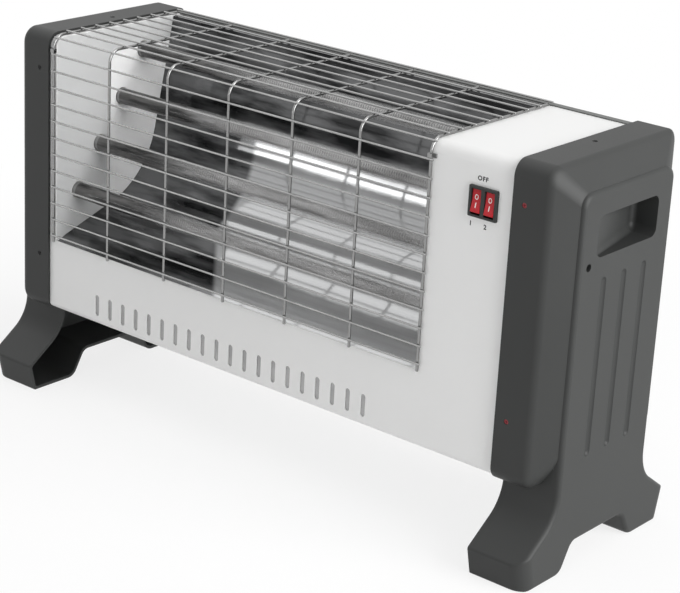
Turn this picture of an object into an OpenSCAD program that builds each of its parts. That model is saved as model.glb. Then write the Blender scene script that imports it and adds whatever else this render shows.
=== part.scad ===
// Electric bar heater: four quartz tubes in front of a curved mirror, in a folded sheet body with a
// wire guard over its front and top, between two moulded end covers that also form the legs.
// Frame: origin on the floor below the middle, +X along the body, +Y to the rear, +Z up. Millimetres.

/* [Body] */
// Width of the sheet body between the two covers
span_w = 518.4; // [460:1:600]
// Depth of the sheet body, front face to back face
body_d = 166; // [160:1:180]
// Height of the sheet body, underside to top
body_h = 261.9; // [250:1:300]
// Height of the body's underside over the floor
underside_h = 79.5; // [76:0.5:100]
// How far the front face stands in front of the middle of the feet
front_ahead = 80.75; // [74:0.25:86]
// Thickness of the body's sheet steel
sheet_t = 1; // [0.6:0.1:1.4]
// Outer radius of the fold between front and top
top_fold_r = 10.5; // [8:0.5:11.5]
// Outer radius of the fold between front and underside
low_fold_r = 6; // [3:0.5:8]
// How far the sheet body reaches into each cover
insert_l = 17.8; // [12:0.2:19]
// Gap that parts which slide into each other leave all round
slide_gap = 0.15; // [0.1:0.05:0.3]

/* [Window] */
// White strip left of the window
strip_left = 7.8; // [6:0.2:12]
// White strip right of the window, which carries the switch
strip_right = 83; // [70:1:110]
// Height of the window's sill over the underside
sill_h = 68; // [60:1:76]
// Width of the top sheet that is left behind the window
rear_strip = 6.5; // [4:0.5:10]

/* [Air slots] */
// Number of air slots below the window
slot_n = 20; // [10:1:20]
// Pitch of the air slots
slot_pitch = 16.8; // [12:0.2:17.5]
// Width of an air slot
slot_w = 5.2; // [3:0.2:6]
// Height of an air slot
slot_h = 20.5; // [12:0.5:26]
// From the window's left edge to the middle of the first slot
slot_first = 55.8; // [40:0.2:70]
// Height of the slots' middle over the underside
slot_mid_h = 19; // [17:0.5:28]

/* [Wire guard] */
// Number of cross wires, which run up the front and back over the top
cross_n = 7; // [4:1:9]
// Diameter of a cross wire
cross_d = 2.6; // [2:0.1:3.4]
// Number of long wires on the front
front_wire_n = 12; // [8:1:14]
// Number of long wires on the top
top_wire_n = 9; // [6:1:11]
// Diameter of a long wire
wire_d = 1.8; // [1.4:0.1:2.4]
// How far the outer cross wires lie beside the window
guard_side = 2.2; // [1.8:0.1:3]
// How far a long wire's end stands past the outer cross wire
wire_end = 4; // [3:0.2:5]
// From the sill up to the lowest long wire
first_wire_h = 6.2; // [4:0.2:9]
// From the end of a bend to the next long wire
bend_step = 5; // [3:0.5:8]

/* [Tubes] */
// Outer diameter of a tube
tube_d = 15; // [13:0.5:16]
// Wall of a tube
tube_wall = 1.5; // [1:0.1:2]
// Lowest tube's middle, behind the front face
tube_setback = 27.9; // [24:0.1:34]
// Lowest tube's middle, over the sill
tube_rise = 44.3; // [40:0.1:50]
// Highest tube's middle, in front of the back face
top_tube_ahead = 55.8; // [50:0.1:62]
// Highest tube's middle, below the body's top
top_tube_drop = 27.1; // [24:0.1:32]
// Outer diameter of a heating coil
coil_d = 9.4; // [7:0.2:10]
// Diameter of a coil's straight tail
tail_d = 1.6; // [1:0.1:2]
// Length of a ceramic end holder
holder_l = 14; // [12:0.5:15]
// Diameter of a ceramic end holder's collar
holder_d = 26; // [23:0.5:30]
// Diameter of a terminal stud
stud_d = 4; // [3:0.2:5]
// Across flats of a terminal nut
nut_af = 7; // [6:0.2:8]

/* [Reflector] */
// Thickness of the reflector sheet
mirror_t = 0.8; // [0.5:0.1:1.2]
// Depth of the flat lip behind the sill
lip_d = 12; // [8:0.5:16]
// From the reflector's top edge to the back face
mirror_gap = 16; // [12:0.5:20]
// Rise of the floor towards the rear, in degrees
floor_slope = 18.5; // [14:0.5:22]
// Radius of the trough
trough_r = 85; // [76:1:90]
// Slope of the straight back of the reflector, in degrees
back_slope = 78; // [74:0.5:82]

/* [End covers] */
// Width of a cover's flat band next to the body
band_w = 33.2; // [28:0.2:40]
// How far the bevelled end stands out past the band
bevel_w = 20.6; // [17:0.2:24]
// Wall of the covers
cover_wall = 2.8; // [2.2:0.1:3.4]
// Corner radius of the covers at the front, seen from the side
cover_r = 13; // [11:0.5:16]
// Corner radius of the covers at the rear, seen from the side
cover_rear_r = 6; // [5:0.5:9]
// How much thicker a cover's rear rim is than its wall
rear_rim = 4; // [0:0.5:5]
// Half depth of the outer panel and the leg's neck
neck_half = 64; // [58:0.5:68]
// From the cover's top edge down to the outer panel's top
panel_drop = 20.5; // [18:0.5:24]
// From the cover's lower edge up to the outer panel's bottom
panel_lift = 21.5; // [18:0.5:26]
// Bevel round the outer panel
edge_bevel = 4; // [2:0.5:5]

/* [Legs] */
// Half depth over the toes
toe_half = 107; // [103:0.5:112]
// Half depth over the soles
sole_half = 101; // [92:0.5:102]
// Rounding of a leg's outer edge at the toes, seen from above
toe_round = 14; // [8:0.5:16]
// Half of the gap between the front and the rear sole
sole_gap_half = 57; // [52:0.5:62]
// Height at which the leg starts to splay
splay_h = 75; // [70:0.5:76]
// Radius of the splay
splay_r = 37; // [32:0.5:40]
// Slope of the instep under the splay, in degrees
instep = 35; // [30:0.5:40]
// Height of the arch between the feet
arch_h = 24.3; // [22:0.1:27]
// Lower radius of the arch, where the sole ends
arch_low_r = 12; // [9:0.5:14]
// Upper radius of the arch
arch_top_r = 9; // [6:0.5:11]

/* [Handles] */
// Middle of the handle recess, below the outer panel's top
grip_drop = 37.5; // [32:0.5:44]
// Height of the handle recess
grip_h = 34.5; // [28:0.5:38]
// Length of the handle recess along the depth
grip_l = 85; // [76:0.5:90]
// Depth of the recess at its rear, where the fingers go
grip_deep = 25; // [22:0.5:27]
// Depth of the recess at its front
grip_shallow = 3; // [2:0.5:5]
// Wall round the recess
grip_wall = 2.2; // [1.8:0.1:2.6]
// Corner radius of the recess, seen from the side
grip_r = 7; // [4:0.5:9]
// Pitch of the three upright grooves below the handle
groove_pitch = 28.7; // [24:0.1:32]
// Radius of a groove
groove_r = 5.5; // [4:0.1:6]
// Depth of a groove
groove_deep = 1.8; // [1:0.1:1.8]
// Top of the grooves, below the middle of the handle recess
groove_drop = 39; // [34:0.5:46]
// Length of a groove
groove_l = 145; // [110:1:152]

/* [Screws] */
// Diameter of a cover screw's head
head_d = 4.2; // [3.6:0.1:4.6]
// Diameter of a cover screw's shank
shank_d = 2.6; // [2:0.1:3]
// Front screws, from the cover's inner edge
screw_in = 11.3; // [9:0.1:13]
// Upper front screws, below the body's top
screw_high = 31; // [24:0.5:40]
// Lower front screws, over the body's underside
screw_low = 52; // [44:0.5:60]
// Bore of the deep screw well in a cover's outer panel
well_bore = 6.5; // [6:0.1:7]
// The well, from the middle of the handle towards the front
well_ahead = 52; // [51:0.5:55]
// The well, below the middle of the handle
well_drop = 22.5; // [20:0.5:28]

/* [Switch] */
// Width of the switch's frame
frame_w = 27.6; // [27:0.2:32]
// Height of the switch's frame
frame_h = 25.4; // [24.6:0.2:30]
// How far the frame stands out of the panel
frame_t = 2.4; // [1.8:0.1:3]
// Depth of the switch body behind the panel
switch_d = 22; // [18:0.5:26]
// Width of a rocker
rocker_w = 8.8; // [8:0.1:9]
// Radius of a rocker's ends about its pin
rocker_r = 10.2; // [9.4:0.1:10.2]
// Angle between a rocker's two positions, in degrees
rocker_throw = 16; // [14:1:22]
// Gap round a rocker
rocker_gap = 0.35; // [0.3:0.05:0.4]
// Diameter of the rockers' pin
rocker_pin_d = 1.6; // [1.4:0.1:2]
// From the cover's edge to the switch's middle
switch_in = 28.1; // [22:0.1:34]
// From the body's top down to the switch's middle
switch_down = 39.2; // [34:0.2:50]

/* [Back] */
// Columns of air slots in the back panel
back_slot_n = 22; // [10:1:24]
// Width of the folded edge that lies on the body's top
back_lip = 7; // [5:0.5:9]
// Bore of the cable gland
gland_bore = 7.5; // [6:0.1:9]

/* [Hidden] */
$fn = 48;

cut = 1;                                            // overshoot of a cut past a face
edge_x = span_w / 2;                                // inner edge of each cover
band_x = edge_x + band_w;
face_x = band_x + bevel_w;                          // outer panel of each cover
shell_x = edge_x + insert_l;                        // end of the sheet body
front_y = -front_ahead;
rear_y = front_y + body_d;
low_z = underside_h;
top_z = underside_h + body_h;
jacket = cover_wall + slide_gap;                    // from the sheet body out to a cover's skin
cover_top = top_z + jacket;
cover_low = low_z - jacket;
panel_top = cover_top - panel_drop;
panel_low = cover_low + panel_lift;
cover_rear_y = rear_y + jacket + rear_rim;
grip_z = panel_top - grip_drop;

win_x0 = -edge_x + strip_left;
win_x1 = edge_x - strip_right;
sill_z = low_z + sill_h;
win_rear_y = rear_y - rear_strip;
fit = 0.1;                                          // gap of a plate inside the sheet body
chamber_gap = 1.8;                                  // from the window's right edge to its end plate
plate_l_x = win_x0;                                 // inner faces of the two end plates
plate_r_x = win_x1 + chamber_gap;

bend_ease = 0.3;                                    // the wires' inner bend is sharper than the fold
guard_bend_r = top_fold_r + cross_d / 2 - bend_ease;
cross_x0 = win_x0 - guard_side;
cross_x1 = win_x1 + guard_side;
cross_pitch = (cross_x1 - cross_x0) / (cross_n - 1);
cross_y = front_y - cross_d / 2;                    // middles of the cross wires' two runs
cross_z = top_z + cross_d / 2;
wire_y = front_y - cross_d - wire_d / 2;            // middles of the long wires
wire_z = top_z + cross_d + wire_d / 2;
first_wire_z = sill_z + first_wire_h;
last_wire_z = cross_z - guard_bend_r - bend_step;
first_top_y = cross_y + guard_bend_r + bend_step;
clip_gap = 0.3;
last_top_y = win_rear_y - wire_d / 2;

tube_n = 4;
tube_low = [front_y + tube_setback, sill_z + tube_rise];    // middles of the lowest and highest tube
tube_high = [rear_y - top_tube_ahead, top_z - top_tube_drop];
tube_step = (tube_high - tube_low) / (tube_n - 1);
tube_pitch = norm(tube_step);
tube_slope = atan2(tube_step[1], tube_step[0]);
tube_bore = tube_d - 2 * tube_wall;
tube_hole = tube_d + 1.5;                           // hole in an end plate round a tube
seat_l = 9;                                         // how far a tube reaches into a ceramic
holder_gap = 0.15;                                  // radial gap between tube and ceramic
stud_out = 7;                                       // stud's length outside the ceramic
shield_t = 0.6;                                     // bright plate on the left end plate:
shield_ahead = 98.7;                                // its front edge before the back face,
shield_down = 22.5;                                 // its top edge below the body's top
shield_r = 11;
nut_t = 3;
strap_t = 0.8;
rocker_fit = 0.08;                                  // radial gap between pin and rocker
rib_w = 3.4;                                        // rib between the two rockers
rocker_mid = (rocker_w + rib_w) / 2 + rocker_gap;   // rocker's middle from the switch's middle
switch_body_w = frame_w - 3;
switch_body_h = frame_h - 2.6;
pin_half = switch_body_w / 2 - 0.3;                 // half the length of the rockers' pin
tab_pitch = 6.5;
tab_w = 6.3;
tab_t = 0.8;
tab_l = 9;
pin_in = 2.6;                                       // rocker pin behind the panel's face
switch_x = edge_x - switch_in;
switch_z = top_z - switch_down;
well_y = -well_ahead;
well_z = grip_z - well_drop;
well_seat_x = shell_x + 6;                          // floor of the deep screw well
well_seat_t = 2;
head_t = 1.6;
head_sink = 0.6;                                    // screw head below the cover's skin
screw_l = 8;
well_head_d = 6;
well_head_t = 2.2;
well_screw_l = 14;
side_plate_x = shell_x;                             // outer face of each side plate
gland_x = edge_x - 45;
gland_z = low_z + 30;
top_screw_y = front_y + body_d / 2 + 5;

block = [36, 16, 18];                               // terminal block with three ways
way_pitch = 12;
way_z = low_z + sheet_t + 6.5;
block_x = gland_x - block[0] / 2;
block_y = rear_y - 62;
tilt_box = [30, 20, 34];                            // tilt switch on its foot
tilt_foot = [42, 20, 1.2];
tilt_x = edge_x - 52;
tilt_y = front_y + 24;
tilt_tab = 8;                                       // its tabs from its middle
cutout_y = rear_y - 74;                             // thermal cut-out on the right end plate
cutout_z = sill_z + 42;
cutout_d = 16;
cutout_h = 10;
cutout_tab = 5;
lead_d = 2.2;
lead_long = 45;                                     // how far a lead runs straight on, on its
lead_mid = 30;                                      // way out of or into a terminal
lead_short = 15;
stud_end_x = plate_r_x + sheet_t + holder_l + stud_out;
tab_end_y = front_y + switch_d + tab_l - fit;

function behind(v) = front_y + v;                   // depth behind the front face, as a Y value
function tube_y(i) = tube_low[0] + i * tube_step[0];
function tube_z(i) = tube_low[1] + i * tube_step[1];
function arc(c, r, a0, a1, n) =
  [for (i = [0:n]) let (a = a0 + (a1 - a0) * i / n) [c[0] + r * cos(a), c[1] + r * sin(a)]];
function back_to_front(points) = [for (i = [len(points) - 1:-1:0]) points[i]];
function flip(points) = [for (p = back_to_front(points)) [-p[0], p[1]]];
function unit(v) = v / norm(v);

// Outline moved inwards by d; it runs anticlockwise, so the inner side is on its left.
function inset(p, d) = [for (i = [0:len(p) - 1])
  let (n = len(p), a = unit(p[i] - p[(i + n - 1) % n]), b = unit(p[(i + 1) % n] - p[i]),
       na = [-a[1], a[0]], nb = [-b[1], b[0]])
  p[i] + d * (na + nb) / (1 + na * nb)];

// The leg seen from the side: neck, splay, instep, toe, sole and the arch between the feet.
leg_neck = neck_half - 0.3;                         // the neck comes out just inside the panel's edge
arc_end = [leg_neck + splay_r - splay_r * sin(instep), splay_h - splay_r * cos(instep)];
toe_z = arc_end[1] - (toe_half - arc_end[0]) * tan(instep);
arch_lean = 60;
arch_knee = [sole_gap_half - arch_low_r * sin(arch_lean), arch_low_r * (1 - cos(arch_lean))];
arch_turn_z = arch_h - arch_top_r * (1 - cos(arch_lean));
arch_y = arch_knee[0] - (arch_turn_z - arch_knee[1]) / tan(arch_lean) - arch_top_r * sin(arch_lean);
leg_top = panel_low + 60;
corner_ease = 0.2;                                  // how far the toe's rounding lies outside its flat sides
leg_half = concat(
  [[leg_neck, leg_top]],
  arc([leg_neck + splay_r, splay_h], splay_r, 180, 270 - instep, 8),
  [[toe_half, toe_z], [sole_half, 0]],
  arc([sole_gap_half, arch_low_r], arch_low_r, 270, 270 - arch_lean, 4),
  arc([arch_y, arch_h - arch_top_r], arch_top_r, 90 - arch_lean, 90, 4)
);
leg_outline = back_to_front(concat(flip(leg_half), leg_half));

// The reflector from the side: front flange, lip, floor, trough and back, as points of its front
// surface. The trough is the arc that touches the sloping floor and the steep back.
mirror_front = [behind(sheet_t + fit), sill_z - sheet_t];
mirror_lip = [behind(lip_d), sill_z + lip_d * tan(floor_slope)];
flange_z = top_z - sheet_t - mirror_t;              // underside of the reflector's top flange
mirror_top = [rear_y - mirror_gap, flange_z + mirror_t];
mirror_run = mirror_top[0] - front_y - (mirror_top[1] - sill_z) / tan(back_slope);
mirror_deep = mirror_run / (1 - tan(floor_slope) / tan(back_slope));
mirror_corner = [behind(mirror_deep), sill_z + mirror_deep * tan(floor_slope)];
trough_l = trough_r * tan((back_slope - floor_slope) / 2);
trough_in = mirror_corner - trough_l * [cos(floor_slope), sin(floor_slope)];
trough_c = trough_in + trough_r * [-sin(floor_slope), cos(floor_slope)];
mirror_foot = [mirror_front[0], low_z + low_fold_r + 0.6];  // its front flange closes the slots from behind
mirror_line = concat(
  [mirror_foot, mirror_front, mirror_lip],
  arc(trough_c, trough_r, floor_slope - 90, back_slope - 90, 12),
  [mirror_top]
);

// Its rear surface, one sheet thickness behind, up to the underside of the flange.
mirror_rear = [for (i = [0:len(mirror_line) - 2]) let (
    p = mirror_line[i],
    next = unit(mirror_line[i + 1] - p),
    last = i == 0 ? next : unit(p - mirror_line[i - 1]),
    t = unit(next + last))
  p + mirror_t * [t[1], -t[0]]];
mirror_knee = mirror_rear[len(mirror_rear) - 1];
mirror_rear_top = [mirror_knee[0] + (flange_z - mirror_knee[1]) / tan(back_slope), flange_z];

// Turns an outline drawn as (depth, height) so that it runs along X from x0 to x1.
module along_x(x0, x1) {
  translate([x0, 0, 0])
    rotate([90, 0, 90])
      linear_extrude(height = x1 - x0)
        children();
}

// The sheet body from the side, grown by g all round.
module body_outline(g) {
  translate([behind(top_fold_r), low_z - g])
    square([body_d - top_fold_r + g, body_h + 2 * g]);
  translate([front_y - g, low_z + low_fold_r])
    square([top_fold_r + g + 0.01, body_h - low_fold_r - top_fold_r]);
  translate([behind(top_fold_r), top_z - top_fold_r])
    circle(r = top_fold_r + g);
  translate([behind(low_fold_r), low_z + low_fold_r])
    circle(r = low_fold_r + g);
  translate([behind(low_fold_r), low_z - g])
    square([top_fold_r - low_fold_r + 0.01, low_fold_r + g]);
}

// The corners of a rounded rectangle in the side view, as a slice from x0 to x1 for a hull to close.
module corner_slice(x0, x1, y0, y1, z0, z1, r, rear_r) {
  for (end = [[y0 + r, r], [y1 - rear_r, rear_r]], z = [z0 + end[1], z1 - end[1]])
    along_x(x0, x1)
      translate([end[0], z])
        circle(r = end[1], $fn = 32);
}

// The leg as a solid from x0, inset by w, with a bevel round its outer face.
module leg_block(w, x0) {
  x1 = face_x - w;
  xs = [x0, x1 - edge_bevel, x1];
  rings = [for (d = [0, 0, edge_bevel]) inset(leg_outline, w + d)];
  n = len(leg_outline);
  last = len(xs) - 1;
  intersection() {
    polyhedron(
      points = [for (k = [0:last], i = [0:n - 1]) [xs[k], rings[k][i][0], rings[k][i][1]]],
      faces = concat(
        [[for (i = [0:n - 1]) i]],
        [[for (i = [n - 1:-1:0]) last * n + i]],
        [for (k = [0:last - 1], i = [0:n - 1]) let (j = (i + 1) % n)
          [k * n + i, (k + 1) * n + i, (k + 1) * n + j, k * n + j]]
      )
    );
    toe_room(w);
    mirror([0, 1, 0])
      toe_room(w);
  }
}

// The room that a leg, inset by w, has within the round corner of the toe and sole on the +Y side.
module toe_room(w) {
  lean = atan((toe_half - sole_half) / toe_z);
  half = sole_half * cos(lean) - w + corner_ease;
  x1 = face_x - w + corner_ease;
  r = toe_round - w;
  rotate([-lean, 0, 0])
    linear_extrude(height = 3 * leg_top, center = true) {
      translate([0, -3 * half])
        square([x1 - r, 4 * half]);
      translate([0, -3 * half])
        square([x1 + r, 4 * half - r]);
      translate([x1 - r, half - r])
        circle(r = r, $fn = 96);
    }
}

// The space within a leg, inset by w.
module leg_room(w, x0) {
  intersection() {
    along_x(x0, face_x - w)
      polygon(inset(leg_outline, w));
    toe_room(w);
    mirror([0, 1, 0])
      toe_room(w);
  }
}

// The bevelled end of a cover, inset by w up to y1 at the rear; its outer panel lies at x.
module cover_block(w, x0, x, y1) {
  panel_r = cover_r * 0.8;
  brim_r = cover_r * 0.6;
  hull() {
    corner_slice(x0, band_x - w * 0.4, front_y - jacket + w, y1,
      cover_low + w, cover_top - w, cover_r - w * 0.5, cover_rear_r - w * 0.5);
    corner_slice(x - edge_bevel, x - edge_bevel + 0.1, -neck_half + w, neck_half - w,
      panel_low + w, panel_top - w, panel_r, panel_r);
    corner_slice(x - 0.1, x, edge_bevel - neck_half + w, neck_half - edge_bevel - w,
      panel_low + edge_bevel + w, panel_top - edge_bevel - w, brim_r, brim_r);
  }
}

// The handle recess, with a wall g round it: seen from above it is shallow at the front, deep and
// round at the rear, and seen from the side its corners are round.
module grip_space(g) {
  y0 = -grip_l / 2;
  y1 = grip_l / 2;
  z0 = grip_z - grip_h / 2;
  z1 = grip_z + grip_h / 2;
  floor_r = 8;
  brim_x = face_x + cut * (g > 0 ? -0.5 : 1);
  intersection() {
    translate([0, 0, z0 - g])
      linear_extrude(height = z1 - z0 + 2 * g)
        polygon(concat(
          [[brim_x, y0 - g], [face_x - grip_shallow - g, y0 - g]],
          arc([face_x - grip_deep + floor_r, y1 - floor_r], floor_r + g, 200, 90, 8),
          [[brim_x, y1 + g]]
        ));
    along_x(shell_x, face_x + 2 * cut)
      polygon(concat(
        arc([y1 - grip_r, z1 - grip_r], grip_r + g, 0, 90, 6),
        arc([y0 + grip_r, z1 - grip_r], grip_r + g, 90, 180, 6),
        arc([y0 + grip_r, z0 + grip_r], grip_r + g, 180, 270, 6),
        arc([y1 - grip_r, z0 + grip_r], grip_r + g, 270, 360, 6)
      ));
  }
}

module groove(y) {
  top = grip_z - groove_drop;
  x = face_x - groove_deep + groove_r;
  translate([x, y, top - groove_l])
    cylinder(r = groove_r, h = groove_l);
  translate([x, y, top])
    sphere(r = groove_r);
  translate([x, y, top - groove_l])
    sphere(r = groove_r);
}

// Screw with a flat head; it drives along +Z from the head's outer face.
module screw(head, head_t, shank, l) {
  difference() {
    union() {
      cylinder(d = head, h = head_t);
      cylinder(d = shank, h = l);
    }
    for (a = [0, 90])
      rotate([0, 0, a])
        translate([-head * 0.3, -head * 0.07, -cut])
          cube([head * 0.6, head * 0.14, cut + head_t * 0.5]);
  }
}

// Places a child at each front screw of the right cover, pointing to the rear.
module front_screw_places() {
  for (z = [top_z - screw_high, low_z + screw_low])
    translate([edge_x + screw_in, front_y - jacket, z])
      rotate([-90, 0, 0])
        children();
}

// The same at the rear of the cover, pointing to the front.
module rear_screw_places() {
  for (z = [top_z - screw_high, low_z + screw_low])
    translate([edge_x + screw_in, cover_rear_y, z])
      rotate([90, 0, 0])
        children();
}

module top_screw_place() {
  translate([edge_x + screw_in, top_screw_y, cover_top])
    rotate([180, 0, 0])
      children();
}

module well_place() {
  translate([well_seat_x, well_y, well_z])
    rotate([0, 90, 0])
      children();
}

module screw_hole(rim) {
  translate([0, 0, -cut])
    cylinder(d = head_d + 0.3, h = cut + head_sink + head_t);
  cylinder(d = shank_d + 0.3, h = rim + jacket + sheet_t + cut);
}

module side_cover() {
  difference() {
    union() {
      difference() {
        union() {
          cover_block(0, edge_x, face_x, cover_rear_y);
          leg_block(0, edge_x);
        }
        cover_block(cover_wall + sheet_t, edge_x - cut, face_x - cover_wall, rear_y - slide_gap);
        along_x(edge_x - cut, shell_x + slide_gap)
          body_outline(slide_gap);
        leg_room(cover_wall, edge_x - cut);
      }
      grip_space(grip_wall);
      well_place()
        cylinder(d = well_bore + 4.5, h = face_x - cover_wall / 2 - well_seat_x);
    }
    grip_space(0);
    for (k = [-1:1])
      groove(k * groove_pitch);
    well_place()
      translate([0, 0, well_seat_t])
        cylinder(d = well_bore, h = face_x - well_seat_x);
    well_place()
      translate([0, 0, -cut])
        cylinder(d = shank_d + 0.4, h = 2 * cut + well_seat_t);
    front_screw_places()
      screw_hole(0);
    rear_screw_places()
      screw_hole(rear_rim);
    top_screw_place()
      screw_hole(0);
  }
}

module left_side_cover() {
  color("dimgray")
    mirror([1, 0, 0])
      side_cover();
}

module right_side_cover() {
  color("dimgray")
    side_cover();
}

module slot_cut(w, h) {
  rotate([90, 0, 0])
    linear_extrude(height = 4 * cut, center = true) {
      square([w, h - w], center = true);
      for (s = [-1, 1])
        translate([0, s * (h - w) / 2])
          circle(d = w);
    }
}

module outer_shell() {
  back_gap = sheet_t;
  color("white")
    difference() {
      along_x(-shell_x, shell_x)
        difference() {
          body_outline(0);
          body_outline(-sheet_t);
          translate([rear_y - back_gap, low_z - cut])
            square([back_gap + cut, body_h + 2 * cut]);
          translate([behind(body_d / 2), low_z + sheet_t])
            square([body_d, body_h - 2 * sheet_t]);
        }
      translate([win_x0, front_y - cut, sill_z])
        cube([win_x1 - win_x0, win_rear_y - front_y + cut, top_z]);
      for (i = [0:slot_n - 1])
        translate([win_x0 + slot_first + i * slot_pitch, front_y, low_z + slot_mid_h])
          slot_cut(slot_w, slot_h);
      translate([switch_x, front_y, switch_z])
        cube([switch_body_w + 2 * slide_gap, 4 * cut, switch_body_h + 2 * slide_gap], center = true);
      for (m = [0, 1])
        mirror([m, 0, 0]) {
          front_screw_places()
            cylinder(d = shank_d + 0.3, h = rear_rim + jacket + 4 * cut);
          top_screw_place()
            cylinder(d = shank_d + 0.3, h = rear_rim + jacket + 4 * cut);
        }
    }
}

module back_panel() {
  back_low = low_z;
  row_h = 26;
  row_w = 5;
  color("darkslategray")
    difference() {
      union() {
        translate([-shell_x, rear_y - sheet_t, back_low])
          cube([2 * shell_x, sheet_t, body_h]);
        translate([-edge_x + 0.3, rear_y - back_lip, top_z])
          cube([2 * edge_x - 0.6, back_lip, sheet_t]);
      }
      for (i = [0:back_slot_n - 1], z = [low_z + 30, top_z - 36])
        translate([win_x0 + 20 + i * (win_x1 - win_x0 - 40) / (back_slot_n - 1), rear_y - sheet_t / 2, z])
          slot_cut(row_w, row_h);
      translate([gland_x, rear_y, gland_z])
        rotate([90, 0, 0])
          cylinder(d = gland_bore + 5 + 2 * slide_gap, h = 4 * cut, center = true);
      for (m = [0, 1])
        mirror([m, 0, 0])
          rear_screw_places()
            cylinder(d = shank_d + 0.3, h = rear_rim + jacket + 4 * cut);
    }
}

// A plate that stands inside the sheet body, from x0 to x1.
module inner_plate(x0, x1) {
  along_x(x0, x1)
    difference() {
      body_outline(-sheet_t - fit);
      translate([rear_y - sheet_t - fit, low_z])
        square([body_d, body_h]);
    }
}

module side_plate() {
  difference() {
    inner_plate(side_plate_x - sheet_t, side_plate_x);
    translate([side_plate_x, well_y, well_z])
      rotate([0, 90, 0])
        cylinder(d = shank_d + 0.3, h = 4 * cut, center = true);
    for (y = [-20, 30])
      translate([side_plate_x, y, low_z + body_h * 0.3])
        rotate([0, 90, 0])
          cylinder(d = 22, h = 4 * cut, center = true);
  }
}

module left_side_plate() {
  color("silver")
    mirror([1, 0, 0])
      side_plate();
}

module right_side_plate() {
  color("silver")
    side_plate();
}

module end_plate(x0, x1) {
  difference() {
    inner_plate(x0, x1);
    for (i = [0:tube_n - 1])
      translate([(x0 + x1) / 2, tube_y(i), tube_z(i)])
        rotate([0, 90, 0])
          cylinder(d = tube_hole, h = 4 * cut, center = true);
  }
}

module left_end_plate() {
  color("gainsboro")
    end_plate(plate_l_x - sheet_t, plate_l_x);
}

module right_end_plate() {
  color("gainsboro")
    end_plate(plate_r_x, plate_r_x + sheet_t);
}

// Bright plate on the left end plate, between the trough and a rounded front and top edge.
module left_heat_shield() {
  clear = 0.4;
  y0 = rear_y - shield_ahead;
  z1 = top_z - shield_down;
  wide = rear_y - y0;
  color("whitesmoke")
    difference() {
      along_x(plate_l_x, plate_l_x + shield_t)
        intersection() {
          union() {
            translate([y0, sill_z])
              square([wide, z1 - shield_r - sill_z]);
            translate([y0 + shield_r, z1 - shield_r])
              circle(r = shield_r);
            translate([y0 + shield_r, z1 - 2 * shield_r])
              square([wide, 2 * shield_r]);
          }
          polygon(concat(
            [for (p = mirror_line) p + clear * unit([-1, 1.2])],
            [[front_y, mirror_top[1]]]
          ));
        }
      for (i = [0:tube_n - 1])
        translate([plate_l_x, tube_y(i), tube_z(i)])
          rotate([0, 90, 0])
            cylinder(d = tube_hole, h = 4 * cut, center = true);
    }
}

module reflector() {
  flange_y = rear_y - sheet_t - fit;
  color("lightsteelblue")
    along_x(plate_l_x + fit, plate_r_x - fit)
      polygon(concat(
        mirror_line,
        [[flange_y, mirror_top[1]], [flange_y, flange_z], mirror_rear_top],
        back_to_front(mirror_rear)
      ));
}

module long_wire(y, z) {
  translate([cross_x0 - cross_d / 2, y, z])
    rotate([0, 90, 0])
      cylinder(d = wire_d, h = cross_x1 - cross_x0 + wire_end + cross_d / 2, $fn = 24);
}

module guard_front_wires() {
  bend = guard_bend_r + cross_d / 2 + wire_d / 2;
  color("silver") {
    for (i = [0:front_wire_n - 1])
      long_wire(wire_y, first_wire_z + i * (last_wire_z - first_wire_z) / (front_wire_n - 1));
    long_wire(cross_y + guard_bend_r - bend * cos(45), cross_z - guard_bend_r + bend * sin(45));
  }
}

module guard_top_wires() {
  color("silver")
    for (i = [0:top_wire_n - 1])
      long_wire(first_top_y + i * (last_top_y - first_top_y) / (top_wire_n - 1), wire_z);
}

module guard_cross_wires() {
  foot_z = sill_z - cross_d / 2;
  weld = 0.02;
  color("lightgray")
    for (i = [0:cross_n - 1])
      translate([cross_x0 + i * cross_pitch, 0, 0]) {
        translate([0, cross_y, foot_z])
          cylinder(d = cross_d, h = cross_z - guard_bend_r - foot_z + weld, $fn = 24);
        translate([0, cross_y + guard_bend_r, cross_z - guard_bend_r])
          rotate([0, -90, 0])
            rotate([0, 0, 270])
              rotate_extrude(angle = 90, $fn = 48)
                translate([guard_bend_r, 0])
                  circle(d = cross_d, $fn = 24);
        translate([0, cross_y + guard_bend_r - weld, cross_z])
          rotate([-90, 0, 0])
            cylinder(d = cross_d, h = win_rear_y - 2 - cross_y - guard_bend_r + weld, $fn = 24);
      }
}

// Two small bands that tie the outer cross wires to the body below their bend.
module guard_clips() {
  band_t = 0.8;
  band_h = 3.4;
  room = cross_d + 2 * fit;
  tail = strip_left - guard_side - room / 2 - 2 * clip_gap;
  z = last_wire_z + wire_d / 2 + clip_gap;
  color("silver")
    for (s = [-1, 1])
      translate([s < 0 ? cross_x0 : cross_x1, 0, z]) {
        difference() {
          translate([-room / 2 - band_t, front_y - room - band_t, 0])
            cube([room + 2 * band_t, room + band_t, band_h]);
          translate([-room / 2, front_y - room, -cut])
            cube([room, room + cut, band_h + 2 * cut]);
        }
        translate([s > 0 ? room / 2 + band_t / 2 : -room / 2 - tail, front_y - band_t, 0])
          cube([tail - band_t / 2, band_t, band_h]);
      }
}

module quartz_tube(i) {
  x0 = plate_l_x - sheet_t - seat_l;
  x1 = plate_r_x + sheet_t + seat_l;
  color("slategray", 0.5)
    translate([x0, tube_y(i), tube_z(i)])
      rotate([0, 90, 0])
        difference() {
          cylinder(d = tube_d, h = x1 - x0);
          translate([0, 0, -cut])
            cylinder(d = tube_bore, h = x1 - x0 + 2 * cut);
        }
}

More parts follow.
